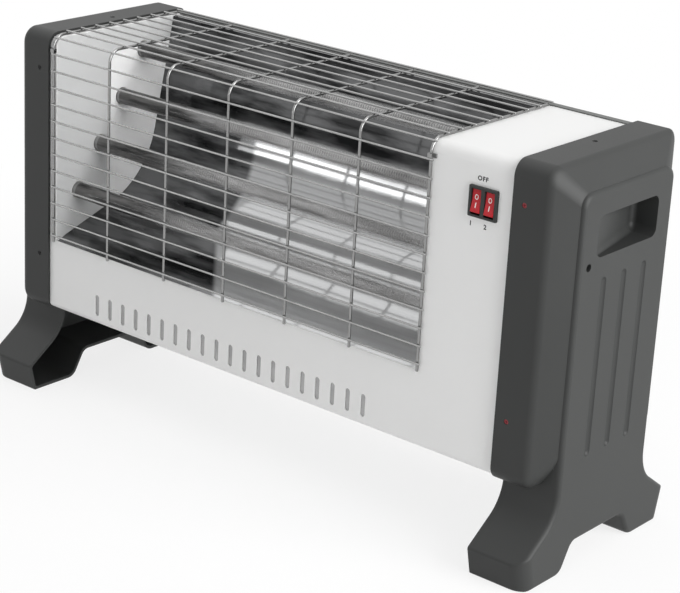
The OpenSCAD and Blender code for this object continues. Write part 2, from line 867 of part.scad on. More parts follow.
// A coil's envelope with its straight tails out to the studs.
module heating_coil(i) {
  x0 = plate_l_x - sheet_t - seat_l;
  x1 = plate_r_x + sheet_t + seat_l;
  margin = 16;
  color("dimgray")
    translate([x0, tube_y(i), tube_z(i)])
      rotate([0, 90, 0]) {
        translate([0, 0, margin])
          cylinder(d = coil_d, h = x1 - x0 - 2 * margin);
        cylinder(d = tail_d, h = x1 - x0);
      }
}

// A ceramic end holder; it stands on an end plate and points along +Z.
module ceramic() {
  collar = 4;
  color("ivory")
    difference() {
      union() {
        cylinder(d = holder_d, h = collar);
        cylinder(d = tube_d + 5, h = holder_l);
      }
      translate([0, 0, -cut])
        cylinder(d = tube_d + 2 * holder_gap, h = seat_l + cut + 0.2);
      translate([0, 0, -cut])
        cylinder(d = stud_d + 0.2, h = holder_l + 2 * cut);
    }
}

module left_ceramic(i) {
  translate([plate_l_x - sheet_t, tube_y(i), tube_z(i)])
    rotate([0, -90, 0])
      ceramic();
}

module right_ceramic(i) {
  translate([plate_r_x + sheet_t, tube_y(i), tube_z(i)])
    rotate([0, 90, 0])
      ceramic();
}

// A stud with a foot inside the ceramic and a nut outside; strap is the sheet under the nut.
module stud(strap) {
  translate([0, 0, seat_l])
    cylinder(d = stud_d, h = holder_l - seat_l + stud_out);
  translate([0, 0, holder_l + strap])
    cylinder(d = nut_af / cos(30), h = nut_t, $fn = 6);
}

module left_studs() {
  color("gold")
    for (i = [0:tube_n - 1])
      translate([plate_l_x - sheet_t, tube_y(i), tube_z(i)])
        rotate([0, -90, 0])
          stud(strap_t);
}

module right_studs() {
  color("gold")
    for (i = [0:tube_n - 1])
      translate([plate_r_x + sheet_t, tube_y(i), tube_z(i)])
        rotate([0, 90, 0])
          stud(strap_t);
}

// Flat straps that join the left ends of tubes 1 and 2, and of tubes 3 and 4.
module left_link_straps() {
  strap_w = 9;
  color("peru")
    for (i = [0:2:tube_n - 2])
      translate([plate_l_x - sheet_t - holder_l, tube_y(i), tube_z(i)])
        rotate([tube_slope, 0, 0])
          rotate([0, -90, 0])
            difference() {
              union() {
                translate([-strap_w / 2, 0, 0])
                  cube([strap_w, tube_pitch, strap_t]);
                for (v = [0, tube_pitch])
                  translate([0, v, 0])
                    cylinder(d = strap_w, h = strap_t);
              }
              for (v = [0, tube_pitch])
                translate([0, v, -cut])
                  cylinder(d = stud_d + 0.2, h = strap_t + 2 * cut);
            }
}

// The rocker's side view about its pin: a shallow V in front, round ends.
module rocker_outline() {
  intersection() {
    circle(r = rocker_r, $fn = 96);
    polygon([
      [-rocker_r * 0.46, rocker_r], [-rocker_r * 0.38, 0], [-rocker_r * 0.46, -rocker_r],
      [rocker_r * 0.32, -rocker_r * 0.72], [rocker_r * 0.32, rocker_r * 0.72]
    ]);
  }
}

module rocker(side) {
  color("crimson")
    translate([switch_x + side * rocker_mid - rocker_w / 2, behind(pin_in), switch_z])
      rotate([rocker_throw / -2, 0, 0])
        difference() {
          along_x(0, rocker_w)
            rocker_outline();
          rotate([0, 90, 0])
            translate([0, 0, -cut])
              cylinder(d = rocker_pin_d + 2 * rocker_fit, h = rocker_w + 2 * cut);
        }
}

module rocker_pin() {
  color("silver")
    translate([switch_x - pin_half, behind(pin_in), switch_z])
      rotate([0, 90, 0])
        cylinder(d = rocker_pin_d, h = 2 * pin_half);
}

module switch_housing() {
  room_w = rocker_w + 2 * rocker_gap;
  room_h = 2 * (rocker_r + rocker_gap);
  room_d = pin_in + rocker_r * 0.32 + rocker_r * 0.72 * sin(rocker_throw / 2) + 0.6;
  color("darkslategray")
    difference() {
      union() {
        translate([switch_x - frame_w / 2, front_y - frame_t, switch_z - frame_h / 2])
          cube([frame_w, frame_t, frame_h]);
        translate([switch_x - switch_body_w / 2, front_y - fit, switch_z - switch_body_h / 2])
          cube([switch_body_w, switch_d, switch_body_h]);
      }
      for (s = [-1, 1])
        translate([switch_x + s * rocker_mid - room_w / 2, front_y - frame_t - cut, switch_z - room_h / 2])
          cube([room_w, frame_t + cut + room_d, room_h]);
      translate([switch_x - pin_half, behind(pin_in), switch_z])
        rotate([0, 90, 0])
          cylinder(d = rocker_pin_d + 0.02, h = 2 * pin_half);
    }
}

module switch_tabs() {
  color("silver")
    for (s = [-1, 1], z = [-tab_pitch, 0, tab_pitch])
      translate([switch_x + s * rocker_mid - tab_w / 2, behind(switch_d - fit), switch_z + z - tab_t / 2])
        cube([tab_w, tab_l, tab_t]);
}

// Terminal block on the floor of the wiring space, behind the switch strip.
module terminal_block() {
  color("beige")
    translate([block_x, block_y, low_z + sheet_t])
      difference() {
        cube(block);
        for (i = [-1:1])
          translate([block[0] / 2 + i * way_pitch, 0, 0]) {
            translate([0, -cut, way_z - low_z - sheet_t])
              rotate([-90, 0, 0])
                cylinder(d = 3.6, h = block[1] + 2 * cut);
            translate([0, block[1] / 2, block[2] / 2])
              cylinder(d = 5, h = block[2]);
            translate([0, block[1] / 2, way_z - low_z - sheet_t])
              cylinder(d = shank_d + 0.3, h = block[2] / 2);
          }
      }
}

module terminal_screws() {
  color("silver")
    for (i = [-1:1])
      translate([gland_x + i * way_pitch, block_y + block[1] / 2, low_z + sheet_t + block[2] - 4])
        rotate([180, 0, 0])
          screw(4.6, 1.8, shank_d, 6);
}

// Closed tilt switch on a foot, in front of the terminal block.
module tilt_switch() {
  weld = 0.02;
  tab_low = tilt_foot[2] + tilt_box[2] - 2 * weld;
  color("white")
    translate([tilt_x, tilt_y, low_z + sheet_t]) {
      cube(tilt_foot);
      translate([(tilt_foot[0] - tilt_box[0]) / 2, 0, tilt_foot[2] - weld])
        cube(tilt_box);
      for (s = [-tilt_tab, tilt_tab])
        translate([tilt_foot[0] / 2 + s - tab_w / 2, (tilt_box[1] - tab_t) / 2, tab_low])
          cube([tab_w, tab_t, tab_l]);
    }
}

// Thermal cut-out on the right end plate, beside the second tube.
module thermal_cutout() {
  color("black")
    translate([plate_r_x + sheet_t, cutout_y, cutout_z])
      rotate([0, 90, 0]) {
        cylinder(d = cutout_d, h = cutout_h);
        translate([-12, -5, 0])
          cube([24, 10, 1]);
        for (s = [-cutout_tab, cutout_tab])
          translate([s - tab_t / 2, -tab_w / 2, cutout_h])
            cube([tab_t, tab_w, tab_l]);
      }
}

// A wire along a list of points, as a tube with eight sides; it starts along out and ends against back.
module lead(path, d, out, back) {
  n = len(path);
  sides = 8;
  tangents = [for (i = [0:n - 1])
    i == 0 ? unit(out) : i == n - 1 ? -unit(back) : unit(path[i + 1] - path[i - 1])];
  points = [for (i = [0:n - 1]) let (
      t = tangents[i],
      u = unit(cross(t, [0.31, 0.17, 0.93])),
      v = cross(t, u))
    for (k = [0:sides - 1]) path[i] + d / 2 * (u * cos(360 * k / sides) + v * sin(360 * k / sides))];
  polyhedron(
    points = points,
    faces = concat(
      [[for (k = [0:sides - 1]) k]],
      [[for (k = [sides - 1:-1:0]) (n - 1) * sides + k]],
      [for (i = [0:n - 2], k = [0:sides - 1]) let (j = (k + 1) % sides)
        [i * sides + k, (i + 1) * sides + k, (i + 1) * sides + j, i * sides + j]]
    )
  );
}

// A smooth path through four control points, as a cubic.
function curve(a, b, c, d, n) = [for (i = [0:n]) let (t = i / n, s = 1 - t)
  s * s * s * a + 3 * s * s * t * b + 3 * s * t * t * c + t * t * t * d];

// Place i steps from the middle way of the terminal block, inside its wire hole.
function way(i) = [gland_x + i * way_pitch, block_y + 5, way_z];
function stud_end(i) = [stud_end_x, tube_y(i), tube_z(i)];
function tilt_end(side) =
  [tilt_x + tilt_foot[0] / 2 + side * tilt_tab, tilt_y + tilt_box[1] / 2,
   low_z + sheet_t + tilt_foot[2] + tilt_box[2] + tab_l];
function cutout_end(side) =
  [plate_r_x + sheet_t + cutout_h + tab_l, cutout_y, cutout_z + side * cutout_tab];
function switch_end(side, row) = [switch_x + side * rocker_mid, tab_end_y, switch_z + row * tab_pitch];

// Each lead as its start, the way it leaves, the way it comes in, and its end: the live side runs
// from the block over the tilt switch and the cut-out to the rockers and on to tubes 2 and 4, the
// neutral side to tubes 1 and 3; the last one earths the side plate.
module inner_leads() {
  aside = [0, 0, lead_d / 2 + 0.25];
  leads = [
    [way(0), [0, -lead_long, 0], [0, 0, lead_mid], tilt_end(1)],
    [tilt_end(-1), [0, 0, lead_mid], [lead_mid, 0, 0], cutout_end(-1)],
    [cutout_end(1), [lead_long, 0, 0], [0, lead_long, 0], switch_end(-1, 0)],
    [switch_end(-1, -1), [0, lead_short, 0], [lead_mid * 0.75, 0, 0], stud_end(1)],
    [switch_end(1, -1), [0, lead_long, 0], [lead_long * 0.75, 0, 0], stud_end(3)],
    [way(-1), [0, -lead_long, 0], [lead_mid, 0, 0], stud_end(0) - aside],
    [stud_end(0) + aside, [lead_short, 0, 0], [lead_mid, 0, 0], stud_end(2)],
    [way(1), [0, -lead_mid, 0], [-lead_mid, 0, 0], [side_plate_x - sheet_t, 0, low_z + lead_mid]]
  ];
  color("firebrick")
    for (l = leads) {
      start = l[0] + fit * unit(l[1]);
      goal = l[3] + fit * unit(l[2]);
      lead(curve(start, start + l[1], goal + l[2], goal, 12), lead_d, l[1], l[2]);
    }
}

module cable_gland() {
  flange = 3;
  color("black")
    translate([gland_x, rear_y + flange, gland_z])
      rotate([90, 0, 0])
        difference() {
          union() {
            cylinder(d = gland_bore + 10, h = flange);
            cylinder(d = gland_bore + 5, h = flange + sheet_t + 6);
            translate([0, 0, flange + sheet_t + 0.2])
              cylinder(d = gland_bore + 9, h = 3);
          }
          translate([0, 0, -cut])
            cylinder(d = gland_bore, h = 20);
        }
}

module front_pair() {
  front_screw_places()
    translate([0, 0, head_sink])
      screw(head_d, head_t, shank_d, screw_l);
}

module left_front_screws() {
  color("black")
    mirror([1, 0, 0])
      front_pair();
}

module right_front_screws() {
  color("darkred")
    front_pair();
}

module top_screws() {
  color("black")
    for (m = [0, 1])
      mirror([m, 0, 0])
        top_screw_place()
          translate([0, 0, head_sink])
            screw(head_d, head_t, shank_d, screw_l);
}

module rear_screws() {
  color("black")
    for (m = [0, 1])
      mirror([m, 0, 0])
        rear_screw_places()
          translate([0, 0, head_sink])
            screw(head_d, head_t, shank_d, screw_l);
}

module well_screws() {
  color("dimgray")
    for (m = [0, 1])
      mirror([m, 0, 0])
        translate([well_seat_x + well_seat_t + well_head_t, well_y, well_z])
          rotate([0, -90, 0])
            screw(well_head_d, well_head_t, shank_d, well_screw_l);
}

left_side_cover();
right_side_cover();
outer_shell();
back_panel();
left_side_plate();
right_side_plate();
left_end_plate();
right_end_plate();
left_heat_shield();
reflector();
guard_front_wires();
guard_top_wires();
guard_cross_wires();
guard_clips();
quartz_tube(0);  // quartz_tube_1
quartz_tube(1);  // quartz_tube_2
quartz_tube(2);  // quartz_tube_3
quartz_tube(3);  // quartz_tube_4
heating_coil(0);  // heating_coil_1
heating_coil(1);  // heating_coil_2
heating_coil(2);  // heating_coil_3
heating_coil(3);  // heating_coil_4
left_ceramic(0);  // left_ceramic_1
left_ceramic(1);  // left_ceramic_2
left_ceramic(2);  // left_ceramic_3
left_ceramic(3);  // left_ceramic_4
right_ceramic(0);  // right_ceramic_1
right_ceramic(1);  // right_ceramic_2
right_ceramic(2);  // right_ceramic_3
right_ceramic(3);  // right_ceramic_4
left_studs();
right_studs();
left_link_straps();
switch_housing();
rocker(-1);  // rocker_1
rocker(1);  // rocker_2
rocker_pin();
switch_tabs();
terminal_block();
terminal_screws();
tilt_switch();
thermal_cutout();
inner_leads();
cable_gland();
left_front_screws();
right_front_screws();
top_screws();
well_screws();
rear_screws();
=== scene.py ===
from math import cos, degrees, pi, radians, sin, sqrt, tan

import bpy
import numpy as np
from mathutils import Euler, Matrix


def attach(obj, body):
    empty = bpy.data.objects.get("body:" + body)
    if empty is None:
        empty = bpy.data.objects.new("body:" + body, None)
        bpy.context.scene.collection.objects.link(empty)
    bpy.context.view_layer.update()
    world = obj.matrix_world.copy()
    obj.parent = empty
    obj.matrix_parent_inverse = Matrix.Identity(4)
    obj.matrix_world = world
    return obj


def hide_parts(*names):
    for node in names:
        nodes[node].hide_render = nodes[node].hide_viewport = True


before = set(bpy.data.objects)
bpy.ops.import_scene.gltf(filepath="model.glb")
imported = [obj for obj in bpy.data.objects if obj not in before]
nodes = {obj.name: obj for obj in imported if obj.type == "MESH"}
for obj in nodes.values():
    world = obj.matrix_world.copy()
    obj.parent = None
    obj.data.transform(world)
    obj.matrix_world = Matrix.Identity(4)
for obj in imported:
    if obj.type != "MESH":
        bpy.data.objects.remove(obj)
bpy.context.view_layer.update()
MM = 0.001


# --- Folded sheet body -------------------------------------------------------------------------
# One sheet of 1 mm steel, folded over the top and the underside and left open at the back, powder
# coated white. The window, the air slots and the switch's hole are punched before it is folded.
BODY_FRONT, BODY_REAR = -80.75, 85.25
BODY_LOW, BODY_TOP = 79.5, 341.4
LOW_FOLD_R, TOP_FOLD_R = 6.0, 10.5
SHEET = 1.0
SHELL_X = 277.0
WINDOW_X = (-251.4, 176.2)
SILL_Z, WINDOW_REAR = 147.5, 78.75
SLOT_FIRST_X, SLOT_PITCH, SLOT_COUNT = -195.6, 16.8, 20
SLOT_Z, SLOT_W, SLOT_H = 98.5, 5.2, 20.5
SWITCH_X, SWITCH_Z = 231.1, 302.2
SWITCH_HOLE_W, SWITCH_HOLE_H, SWITCH_HOLE_R = 24.9, 23.1, 0.5
PUNCH = 5.0  # how far a punch goes past the sheet on either side


class Num:
    """A socket in a material: Python's operators on a number socket add Math nodes."""

    def __init__(self, look, socket):
        self.look, self.socket = look, socket

    def math(self, operation, *values):
        return self.look.node("ShaderNodeMath", {"operation": operation}, *values)

    def __add__(self, other):
        return self.math("ADD", self, other)

    def __sub__(self, other):
        return self.math("SUBTRACT", self, other)

    def __rsub__(self, other):
        return self.math("SUBTRACT", other, self)

    def __mul__(self, other):
        return self.math("MULTIPLY", self, other)

    __radd__, __rmul__ = __add__, __mul__

    def contrast(self, factor):
        """The same pattern, spread out about one half."""
        return (self - 0.5) * factor + 0.5

    def between(self, low, high):
        """Goes from low to high while this goes from 0 to 1."""
        return self * (high - low) + low


class Look:
    """A material on Object coordinates with one Principled shader, whose fixed values are set on it."""

    def __init__(self, name, **fixed):
        self.material = bpy.data.materials.new(name)
        self.material.use_nodes = True
        self.tree = self.material.node_tree
        self.shader = self.tree.nodes["Principled BSDF"]
        for key, value in fixed.items():
            self.shader.inputs[key.replace("_", " ")].default_value = value
        self.place = self.node("ShaderNodeTexCoord", {}, out="Object")

    def node(self, kind, settings, *values, out=0, **named):
        """Adds a node: settings first, then values or links by the socket's number or name, where
        None leaves a socket as it is. Gives the output with the number or name out."""
        made = self.tree.nodes.new(kind)
        for key, value in settings.items():
            setattr(made, key, value)
        for key, value in [*enumerate(values), *named.items()]:
            if isinstance(value, Num):
                self.tree.links.new(value.socket, made.inputs[key])
            elif value is not None:
                made.inputs[key].default_value = value
        return Num(self, made.outputs[out])

    def noise(self, scale, detail=2.0, stretch=(1, 1, 1)):
        """Noise about 1/scale metres wide, stretched by dividing the place along each axis."""
        spot = self.node("ShaderNodeMapping", {}, self.place, Scale=[1 / s for s in stretch])
        return self.node("ShaderNodeTexNoise", {}, spot, Scale=scale, Detail=detail)

    def mottle(self, scale):
        """Cells of random brightness, about 1/scale metres wide."""
        cells = self.node("ShaderNodeTexVoronoi", {}, self.place, Scale=scale, out="Color")
        return self.node("ShaderNodeSeparateColor", {}, cells)

    def along(self, axis):
        """The place along an axis, in metres."""
        return self.node("ShaderNodeSeparateXYZ", {}, self.place, out="XYZ".index(axis))

    def ramp(self, length, start, end, low=0.0, high=1.0):
        """Goes smoothly from low to high while a length goes from start to end in millimetres."""
        return self.node("ShaderNodeMapRange", {"interpolation_type": "SMOOTHSTEP"}, length,
                         start * MM, end * MM, low, high)

    def mix(self, mask, low, high):
        """Goes from low to high with a mask; each is a colour or a colour socket. The Mix node's
        two colours follow its five sockets for other kinds of value."""
        ends = [end if isinstance(end, Num) else (*end, 1) for end in (low, high)]
        return self.node("ShaderNodeMix", {"data_type": "RGBA"}, mask, *[None] * 5, *ends, out=2)

    def feed(self, **values):
        """Links values to the shader's sockets, named with _ for a space."""
        for key, value in values.items():
            self.tree.links.new(value.socket, self.shader.inputs[key.replace("_", " ")])

    def wear(self, colour, rough, height, depth):
        """Feeds a colour, a roughness and a height that stands for depth millimetres of relief."""
        relief = self.node("ShaderNodeBump", {}, Strength=1.0, Distance=depth * MM, Height=height)
        self.feed(Base_Color=colour, Roughness=rough, Normal=relief)
        return self


def coated(name, colour, rough, grain, depth, spread=0.04, **fixed):
    """A plain finish: a colour that drifts by its share spread, a roughness that varies by a tenth
    in all, and a fine grain, 1/grain metres wide and depth millimetres deep."""
    look = Look(name, **fixed)
    low = [c * (1 - spread) for c in colour]
    high = [c * (1 + spread) for c in colour]
    shine = look.noise(60).between(rough - 0.05, rough + 0.05)
    return look.wear(look.mix(look.noise(9, 3), low, high), shine, look.noise(grain, 3), depth)


def placed(name, data):
    """A new object in the scene from its mesh, curve, lamp or camera."""
    obj = bpy.data.objects.new(name, data)
    bpy.context.scene.collection.objects.link(obj)
    return obj


def softened(obj, smooth=30, even=True):
    """Shades a piece smooth and leaves edges sharper than smooth degrees hard; weighted normals
    keep its flat faces flat."""
    obj.data.shade_smooth()
    obj.data.set_sharp_from_angle(angle=radians(smooth))
    if even:
        obj.modifiers.new("even", "WEIGHTED_NORMAL").keep_sharp = True
    return obj


def piece(name, shape, smooth=30, even=True):
    """An object from a shape in millimetres, shaded as softened says."""
    corners, faces = shape
    mesh = bpy.data.meshes.new(name)
    mesh.from_pydata((corners * MM).tolist(), [], faces)
    mesh.validate()
    return softened(placed(name, mesh), smooth, even)


def finished_mesh(obj, name):
    """A new mesh of an object as its modifiers leave it."""
    bpy.context.view_layer.update()
    mesh = bpy.data.meshes.new_from_object(obj.evaluated_get(bpy.context.evaluated_depsgraph_get()))
    mesh.name = name
    return mesh


def carve(obj, shape, operation="DIFFERENCE"):
    """Cuts a closed shape out of a piece, or adds it, and keeps the result as the piece's mesh."""
    tool = piece("tool", shape, even=False)
    obj.modifiers.clear()
    cut = obj.modifiers.new("cut", "BOOLEAN")
    cut.operation, cut.solver, cut.object = operation, "EXACT", tool
    result = finished_mesh(obj, obj.name)
    obj.modifiers.clear()
    obj.data = result
    bpy.data.objects.remove(tool)


def grid(points, wrap_rows=False):
    """A closed shape from rings of points (..., rings, corners, 3), each skinned to the next. The
    last ring of every copy is skinned to its first, or both get one face."""
    rows, cols = points.shape[-3:-1]
    corners = points.reshape(-1, 3)
    start = np.arange(0, len(corners), rows * cols)[:, None, None]
    r = np.arange(rows if wrap_rows else rows - 1)[:, None]
    c = np.arange(cols)[None, :]
    r2, c2 = (r + 1) % rows, (c + 1) % cols
    quads = [start + a * cols + b for a, b in ((r, c), (r, c2), (r2, c2), (r2, c))]
    faces = np.stack(np.broadcast_arrays(*quads), -1).reshape(-1, 4).tolist()
    if not wrap_rows:
        ring = start[:, :, 0] + np.arange(cols)
        faces += ring[:, ::-1].tolist() + (ring + (rows - 1) * cols).tolist()
    return corners, faces


def copies(rings, places):
    """The same rings at each (x, y, z) of places."""
    return rings + np.array(places)[:, None, None]


def arc(centre, radius, a0, a1, steps):
    """Points on a circle from angle a0 to a1 in degrees, ends included."""
    a = np.radians(np.linspace(a0, a1, steps + 1))
    return np.array(centre) + radius * np.stack([np.cos(a), np.sin(a)], -1)


def along_x(outline, xs):
    """An outline of (depth, height) carried along X to each of the places xs, as rings."""
    ring = np.broadcast_to(outline, (len(xs), *outline.shape))
    x = np.broadcast_to(np.array(xs, float)[:, None, None], (len(xs), len(outline), 1))
    return np.concatenate([x, ring], -1)


def along_y(outline, ys):
    """An outline of (x, z) carried along Y, as rings."""
    return along_x(outline[::-1], ys)[..., [1, 0, 2]]


def oblong(half_w, half_h, radius, steps=8):
    """A rounded rectangle about the origin, anticlockwise."""
    w, h = half_w - radius, half_h - radius
    corners = ((w, -h, 270), (w, h, 0), (-w, h, 90), (-w, -h, 180))
    return np.concatenate([arc((x, y), radius, a, a + 90, steps) for x, y, a in corners])


def dressed(obj, look, slot, body="heater", *stands_for):
    """Gives a piece its material, the body it rides on and the nodes it stands for. The slot is not used.
    """
    obj.data.materials.clear()
    obj.data.materials.append(look.material)
    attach(obj, body)
    if stands_for:
        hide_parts(*stands_for)


def body_line(inset):
    """The sheet body's outline from the side, from the rear edge of the underside round the front
    to the rear edge of the top; both folds keep their centre."""
    rear = BODY_REAR - SHEET
    low = arc((BODY_FRONT + LOW_FOLD_R, BODY_LOW + LOW_FOLD_R), LOW_FOLD_R - inset, 270, 180, 12)
    top = arc((BODY_FRONT + TOP_FOLD_R, BODY_TOP - TOP_FOLD_R), TOP_FOLD_R - inset, 180, 90, 20)
    return np.concatenate([[[rear, BODY_LOW + inset]], low, top, [[rear, BODY_TOP - inset]]])


sheet_ring = np.concatenate([body_line(0), body_line(SHEET)[::-1]])
shell = piece("sheet_body", grid(along_x(sheet_ring[::-1], (-SHELL_X, SHELL_X))))

window = np.array([[BODY_FRONT - PUNCH, SILL_Z], [WINDOW_REAR, SILL_Z],
                   [WINDOW_REAR, BODY_TOP + PUNCH], [BODY_FRONT - PUNCH, BODY_TOP + PUNCH]])
carve(shell, grid(along_x(window, WINDOW_X)))
through = (BODY_FRONT - PUNCH, BODY_FRONT + PUNCH)
slot_rings = along_y(oblong(SLOT_W / 2, SLOT_H / 2, SLOT_W / 2), through)
slot_places = [(SLOT_FIRST_X + SLOT_PITCH * k, 0, SLOT_Z) for k in range(SLOT_COUNT)]
carve(shell, grid(copies(slot_rings, slot_places)))
switch_at = np.array([SWITCH_X, 0, SWITCH_Z])
switch_hole = oblong(SWITCH_HOLE_W / 2, SWITCH_HOLE_H / 2, SWITCH_HOLE_R, 2)
carve(shell, grid(along_y(switch_hole, through) + switch_at))
softened(shell)

powder_white = coated("powder_white", (0.83, 0.83, 0.825), rough=0.42, grain=1500, depth=0.012,
                      spread=0.012)
dressed(shell, powder_white, "body_paint", "heater", "outer_shell")


# --- Back panel, side plates and end plates ----------------------------------------------------
# Flat plates cut from sheet steel: the dark powder coated back hooks over the body's rear edge, zinc
# plated side plates close the body inside the covers, and grey end plates carry the tubes. A bright
# heat shield lies on the left one.
def redressed(look, *names):
    """Gives CAD nodes whose shape stays a finished material."""
    for name in names:
        materials = nodes[name].data.materials
        materials.clear()
        materials.append(look.material)


powder_dark = coated("powder_dark", (0.10, 0.104, 0.10), rough=0.45, grain=1500, depth=0.015,
                     spread=0.05)
redressed(powder_dark, "back_panel")

zinc = Look("zinc_plate", Metallic=0.85)
spangle = zinc.mottle(160)
zinc.wear(zinc.mix(spangle, (0.46, 0.47, 0.48), (0.62, 0.63, 0.64)), spangle.between(0.33, 0.48),
          zinc.noise(700), depth=0.008)
redressed(zinc, "left_side_plate", "right_side_plate")

plate_grey = coated("chamber_grey", (0.62, 0.625, 0.625), rough=0.5, grain=1300, depth=0.01,
                    spread=0.02)
redressed(plate_grey, "left_end_plate", "right_end_plate")

bright = Look("bright_plate")
rolled = bright.noise(220, 3, (30, 1, 1))
bright.wear(bright.mix(rolled, (0.93, 0.93, 0.93), (0.97, 0.97, 0.97)), rolled.between(0.3, 0.4),
            rolled, depth=0.006)
redressed(bright, "left_heat_shield")


# --- Reflector ---------------------------------------------------------------------------------
# One polished aluminium sheet of 0.8 mm: a flange down the front that closes the slots from behind,
# a lip behind the sill, a sloping floor, a round trough and a steep back whose top edge is folded to
# the rear, where it lies under the body's top.
MIRROR_X = (-251.3, 177.9)
MIRROR_T = 0.8
FLOOR_SLOPE, BACK_SLOPE, TROUGH_R = radians(18.5), radians(78.0), 85.0
TOP_FLANGE = 16.0
MIRROR_TOP = np.array([BODY_REAR - TOP_FLANGE, BODY_TOP - SHEET])
LIP_IN, LIP_DOWN, HEM_UP = 12.0, 1.0, 6.6
BEHIND_SHEET = SHEET + 0.1

# The floor starts at the sill's edge, and the back ends at MIRROR_TOP; the trough touches both.
floor_t, back_t = tan(FLOOR_SLOPE), tan(BACK_SLOPE)
run = MIRROR_TOP[0] - BODY_FRONT - (MIRROR_TOP[1] - SILL_Z) / back_t
reach = run / (1 - floor_t / back_t)
knee = np.array([BODY_FRONT + reach, SILL_Z + reach * floor_t])
touch = TROUGH_R * tan((BACK_SLOPE - FLOOR_SLOPE) / 2)
trough_in = knee - touch * np.array([cos(FLOOR_SLOPE), sin(FLOOR_SLOPE)])
trough_mid = trough_in + TROUGH_R * np.array([-sin(FLOOR_SLOPE), cos(FLOOR_SLOPE)])


def mirror_line(behind):
    """The reflector's line from the side, shifted behind its front surface: the trough keeps its
    centre, and the straight parts move square to themselves."""
    flange_y = BODY_FRONT + BEHIND_SHEET + behind
    lip_turn = 0.5 * np.arctan2(LIP_IN - BEHIND_SHEET, LIP_DOWN + LIP_IN * floor_t)
    front = [flange_y, SILL_Z - LIP_DOWN - behind * tan(lip_turn)]
    hem = [flange_y, BODY_LOW + HEM_UP]
    lip = [BODY_FRONT + LIP_IN + behind * sin(FLOOR_SLOPE),
           SILL_Z + LIP_IN * floor_t - behind * cos(FLOOR_SLOPE)]
    bow = arc(trough_mid, TROUGH_R + behind, degrees(FLOOR_SLOPE) - 90, degrees(BACK_SLOPE) - 90, 72)
    top_z = MIRROR_TOP[1] - behind
    bend_y = bow[-1, 0] + (top_z - bow[-1, 1]) / back_t
    return np.concatenate([[hem, front, lip], bow,
                           [[bend_y, top_z], [BODY_REAR - BEHIND_SHEET, top_z]]])


mirror_ring = np.concatenate([mirror_line(0), mirror_line(MIRROR_T)[::-1]])
mirror = piece("reflector_sheet", grid(along_x(mirror_ring, np.linspace(*MIRROR_X, 3))))

# Painted reflections: the left part, up to a line that slants towards the front, and the band along the
# top are painted dark and blotchy where the sheet mirrors dark surroundings; the floor is painted lighter
# as the lightest reflection, and the flange is left as rolled.
PAINTED_DARK_X, PAINTED_DARK_SLANT = (-126.0, -118.0), 0.9
PAINTED_DARK_TOP_Z, PAINTED_LIGHT_FLOOR_Z, FLANGE_Z = (249.0, 258.0), (215.0, 165.0), (147.0, 143.0)

polished = Look("polished_sheet", Metallic=0.4)
across, forward, height = [polished.along(axis) for axis in "XYZ"]
waves = polished.noise(7, 2, (2.5, 1, 1))
lines = polished.noise(500, 2, (60, 1, 1))
blots = polished.noise(60, 4, (5, 1, 1)).contrast(5)
# Painted reflection: near black, blotchy colour where the sheet mirrors dark surroundings.
painted_dark_reflection = polished.mix(blots, (0.02, 0.021, 0.022), (0.16, 0.162, 0.165))
back_shade = polished.mix(lines, (0.46, 0.465, 0.47), (0.56, 0.565, 0.57))
# Painted reflection: the floor's tone is lighter than the back's.
painted_light_floor = polished.mix(lines, (0.52, 0.525, 0.53), (0.66, 0.665, 0.67))
flange_shade = polished.mix(blots, (0.36, 0.36, 0.36), (0.42, 0.42, 0.42))
# Painted reflection: lighter towards the floor.
sheet = polished.mix(polished.ramp(height, *PAINTED_LIGHT_FLOOR_Z), back_shade, painted_light_floor)
# Painted reflection: the band along the top is painted dark.
sheet = polished.mix(polished.ramp(height, *PAINTED_DARK_TOP_Z), sheet, painted_dark_reflection)
# Painted reflection: the left part, up to a line that slants towards the front, is painted dark.
outside_painted_dark = polished.ramp(across, *PAINTED_DARK_X) * polished.ramp(across + forward * PAINTED_DARK_SLANT, *PAINTED_DARK_X)
sheet = polished.mix(outside_painted_dark, painted_dark_reflection, sheet)
sheet = polished.mix(polished.ramp(height, *FLANGE_Z), sheet, flange_shade)
polished.wear(sheet, lines.between(0.03, 0.08), waves + lines * 0.004, depth=0.6)
dressed(mirror, polished, "reflector_sheet", "heater", "reflector")


# --- Quartz tubes and heating coils ------------------------------------------------------------
# Four fused quartz tubes of 15 mm with a wall of 1.5 mm; painted shade darkens them on the left, and
# painted light makes them pale on the right.
# They pass through the end plates into ceramic holders. Each holds a coiled resistance wire.
TUBE_X = (-261.4, 188.0)
TUBE_LOW, TUBE_HIGH = (-52.85, 191.8), (29.45, 314.3)
TUBE_R, TUBE_WALL, TUBE_EDGE_R = 7.5, 1.5, 0.7
tube_at = np.linspace(TUBE_LOW, TUBE_HIGH, 4)


def turned(profile, sides=48):
    """A closed profile of (x, radius) turned about the X axis."""
    a = np.linspace(0, 2 * pi, sides, endpoint=False)
    x, r = profile[:, 0, None], profile[:, 1, None]
    return np.stack([x + 0 * a, r * np.cos(a), r * np.sin(a)], -1)


COLLAR_X, DARK_TO_LIGHT_X = (-248.5, -247.5), (-180.0, -100.0)
DARK_LEFT_ALPHA, CLEAR_ALPHA = 0.9, 0.28
smoked = Look("smoked_quartz", IOR=1.46)
streak = smoked.noise(130, 4, (7, 1, 1)).contrast(5)
along_tube = smoked.along("X")
# Painted shade: the left part is painted near black with streaks.
painted_dark_quartz = smoked.mix(streak, (0.008, 0.008, 0.008), (0.15, 0.148, 0.145))
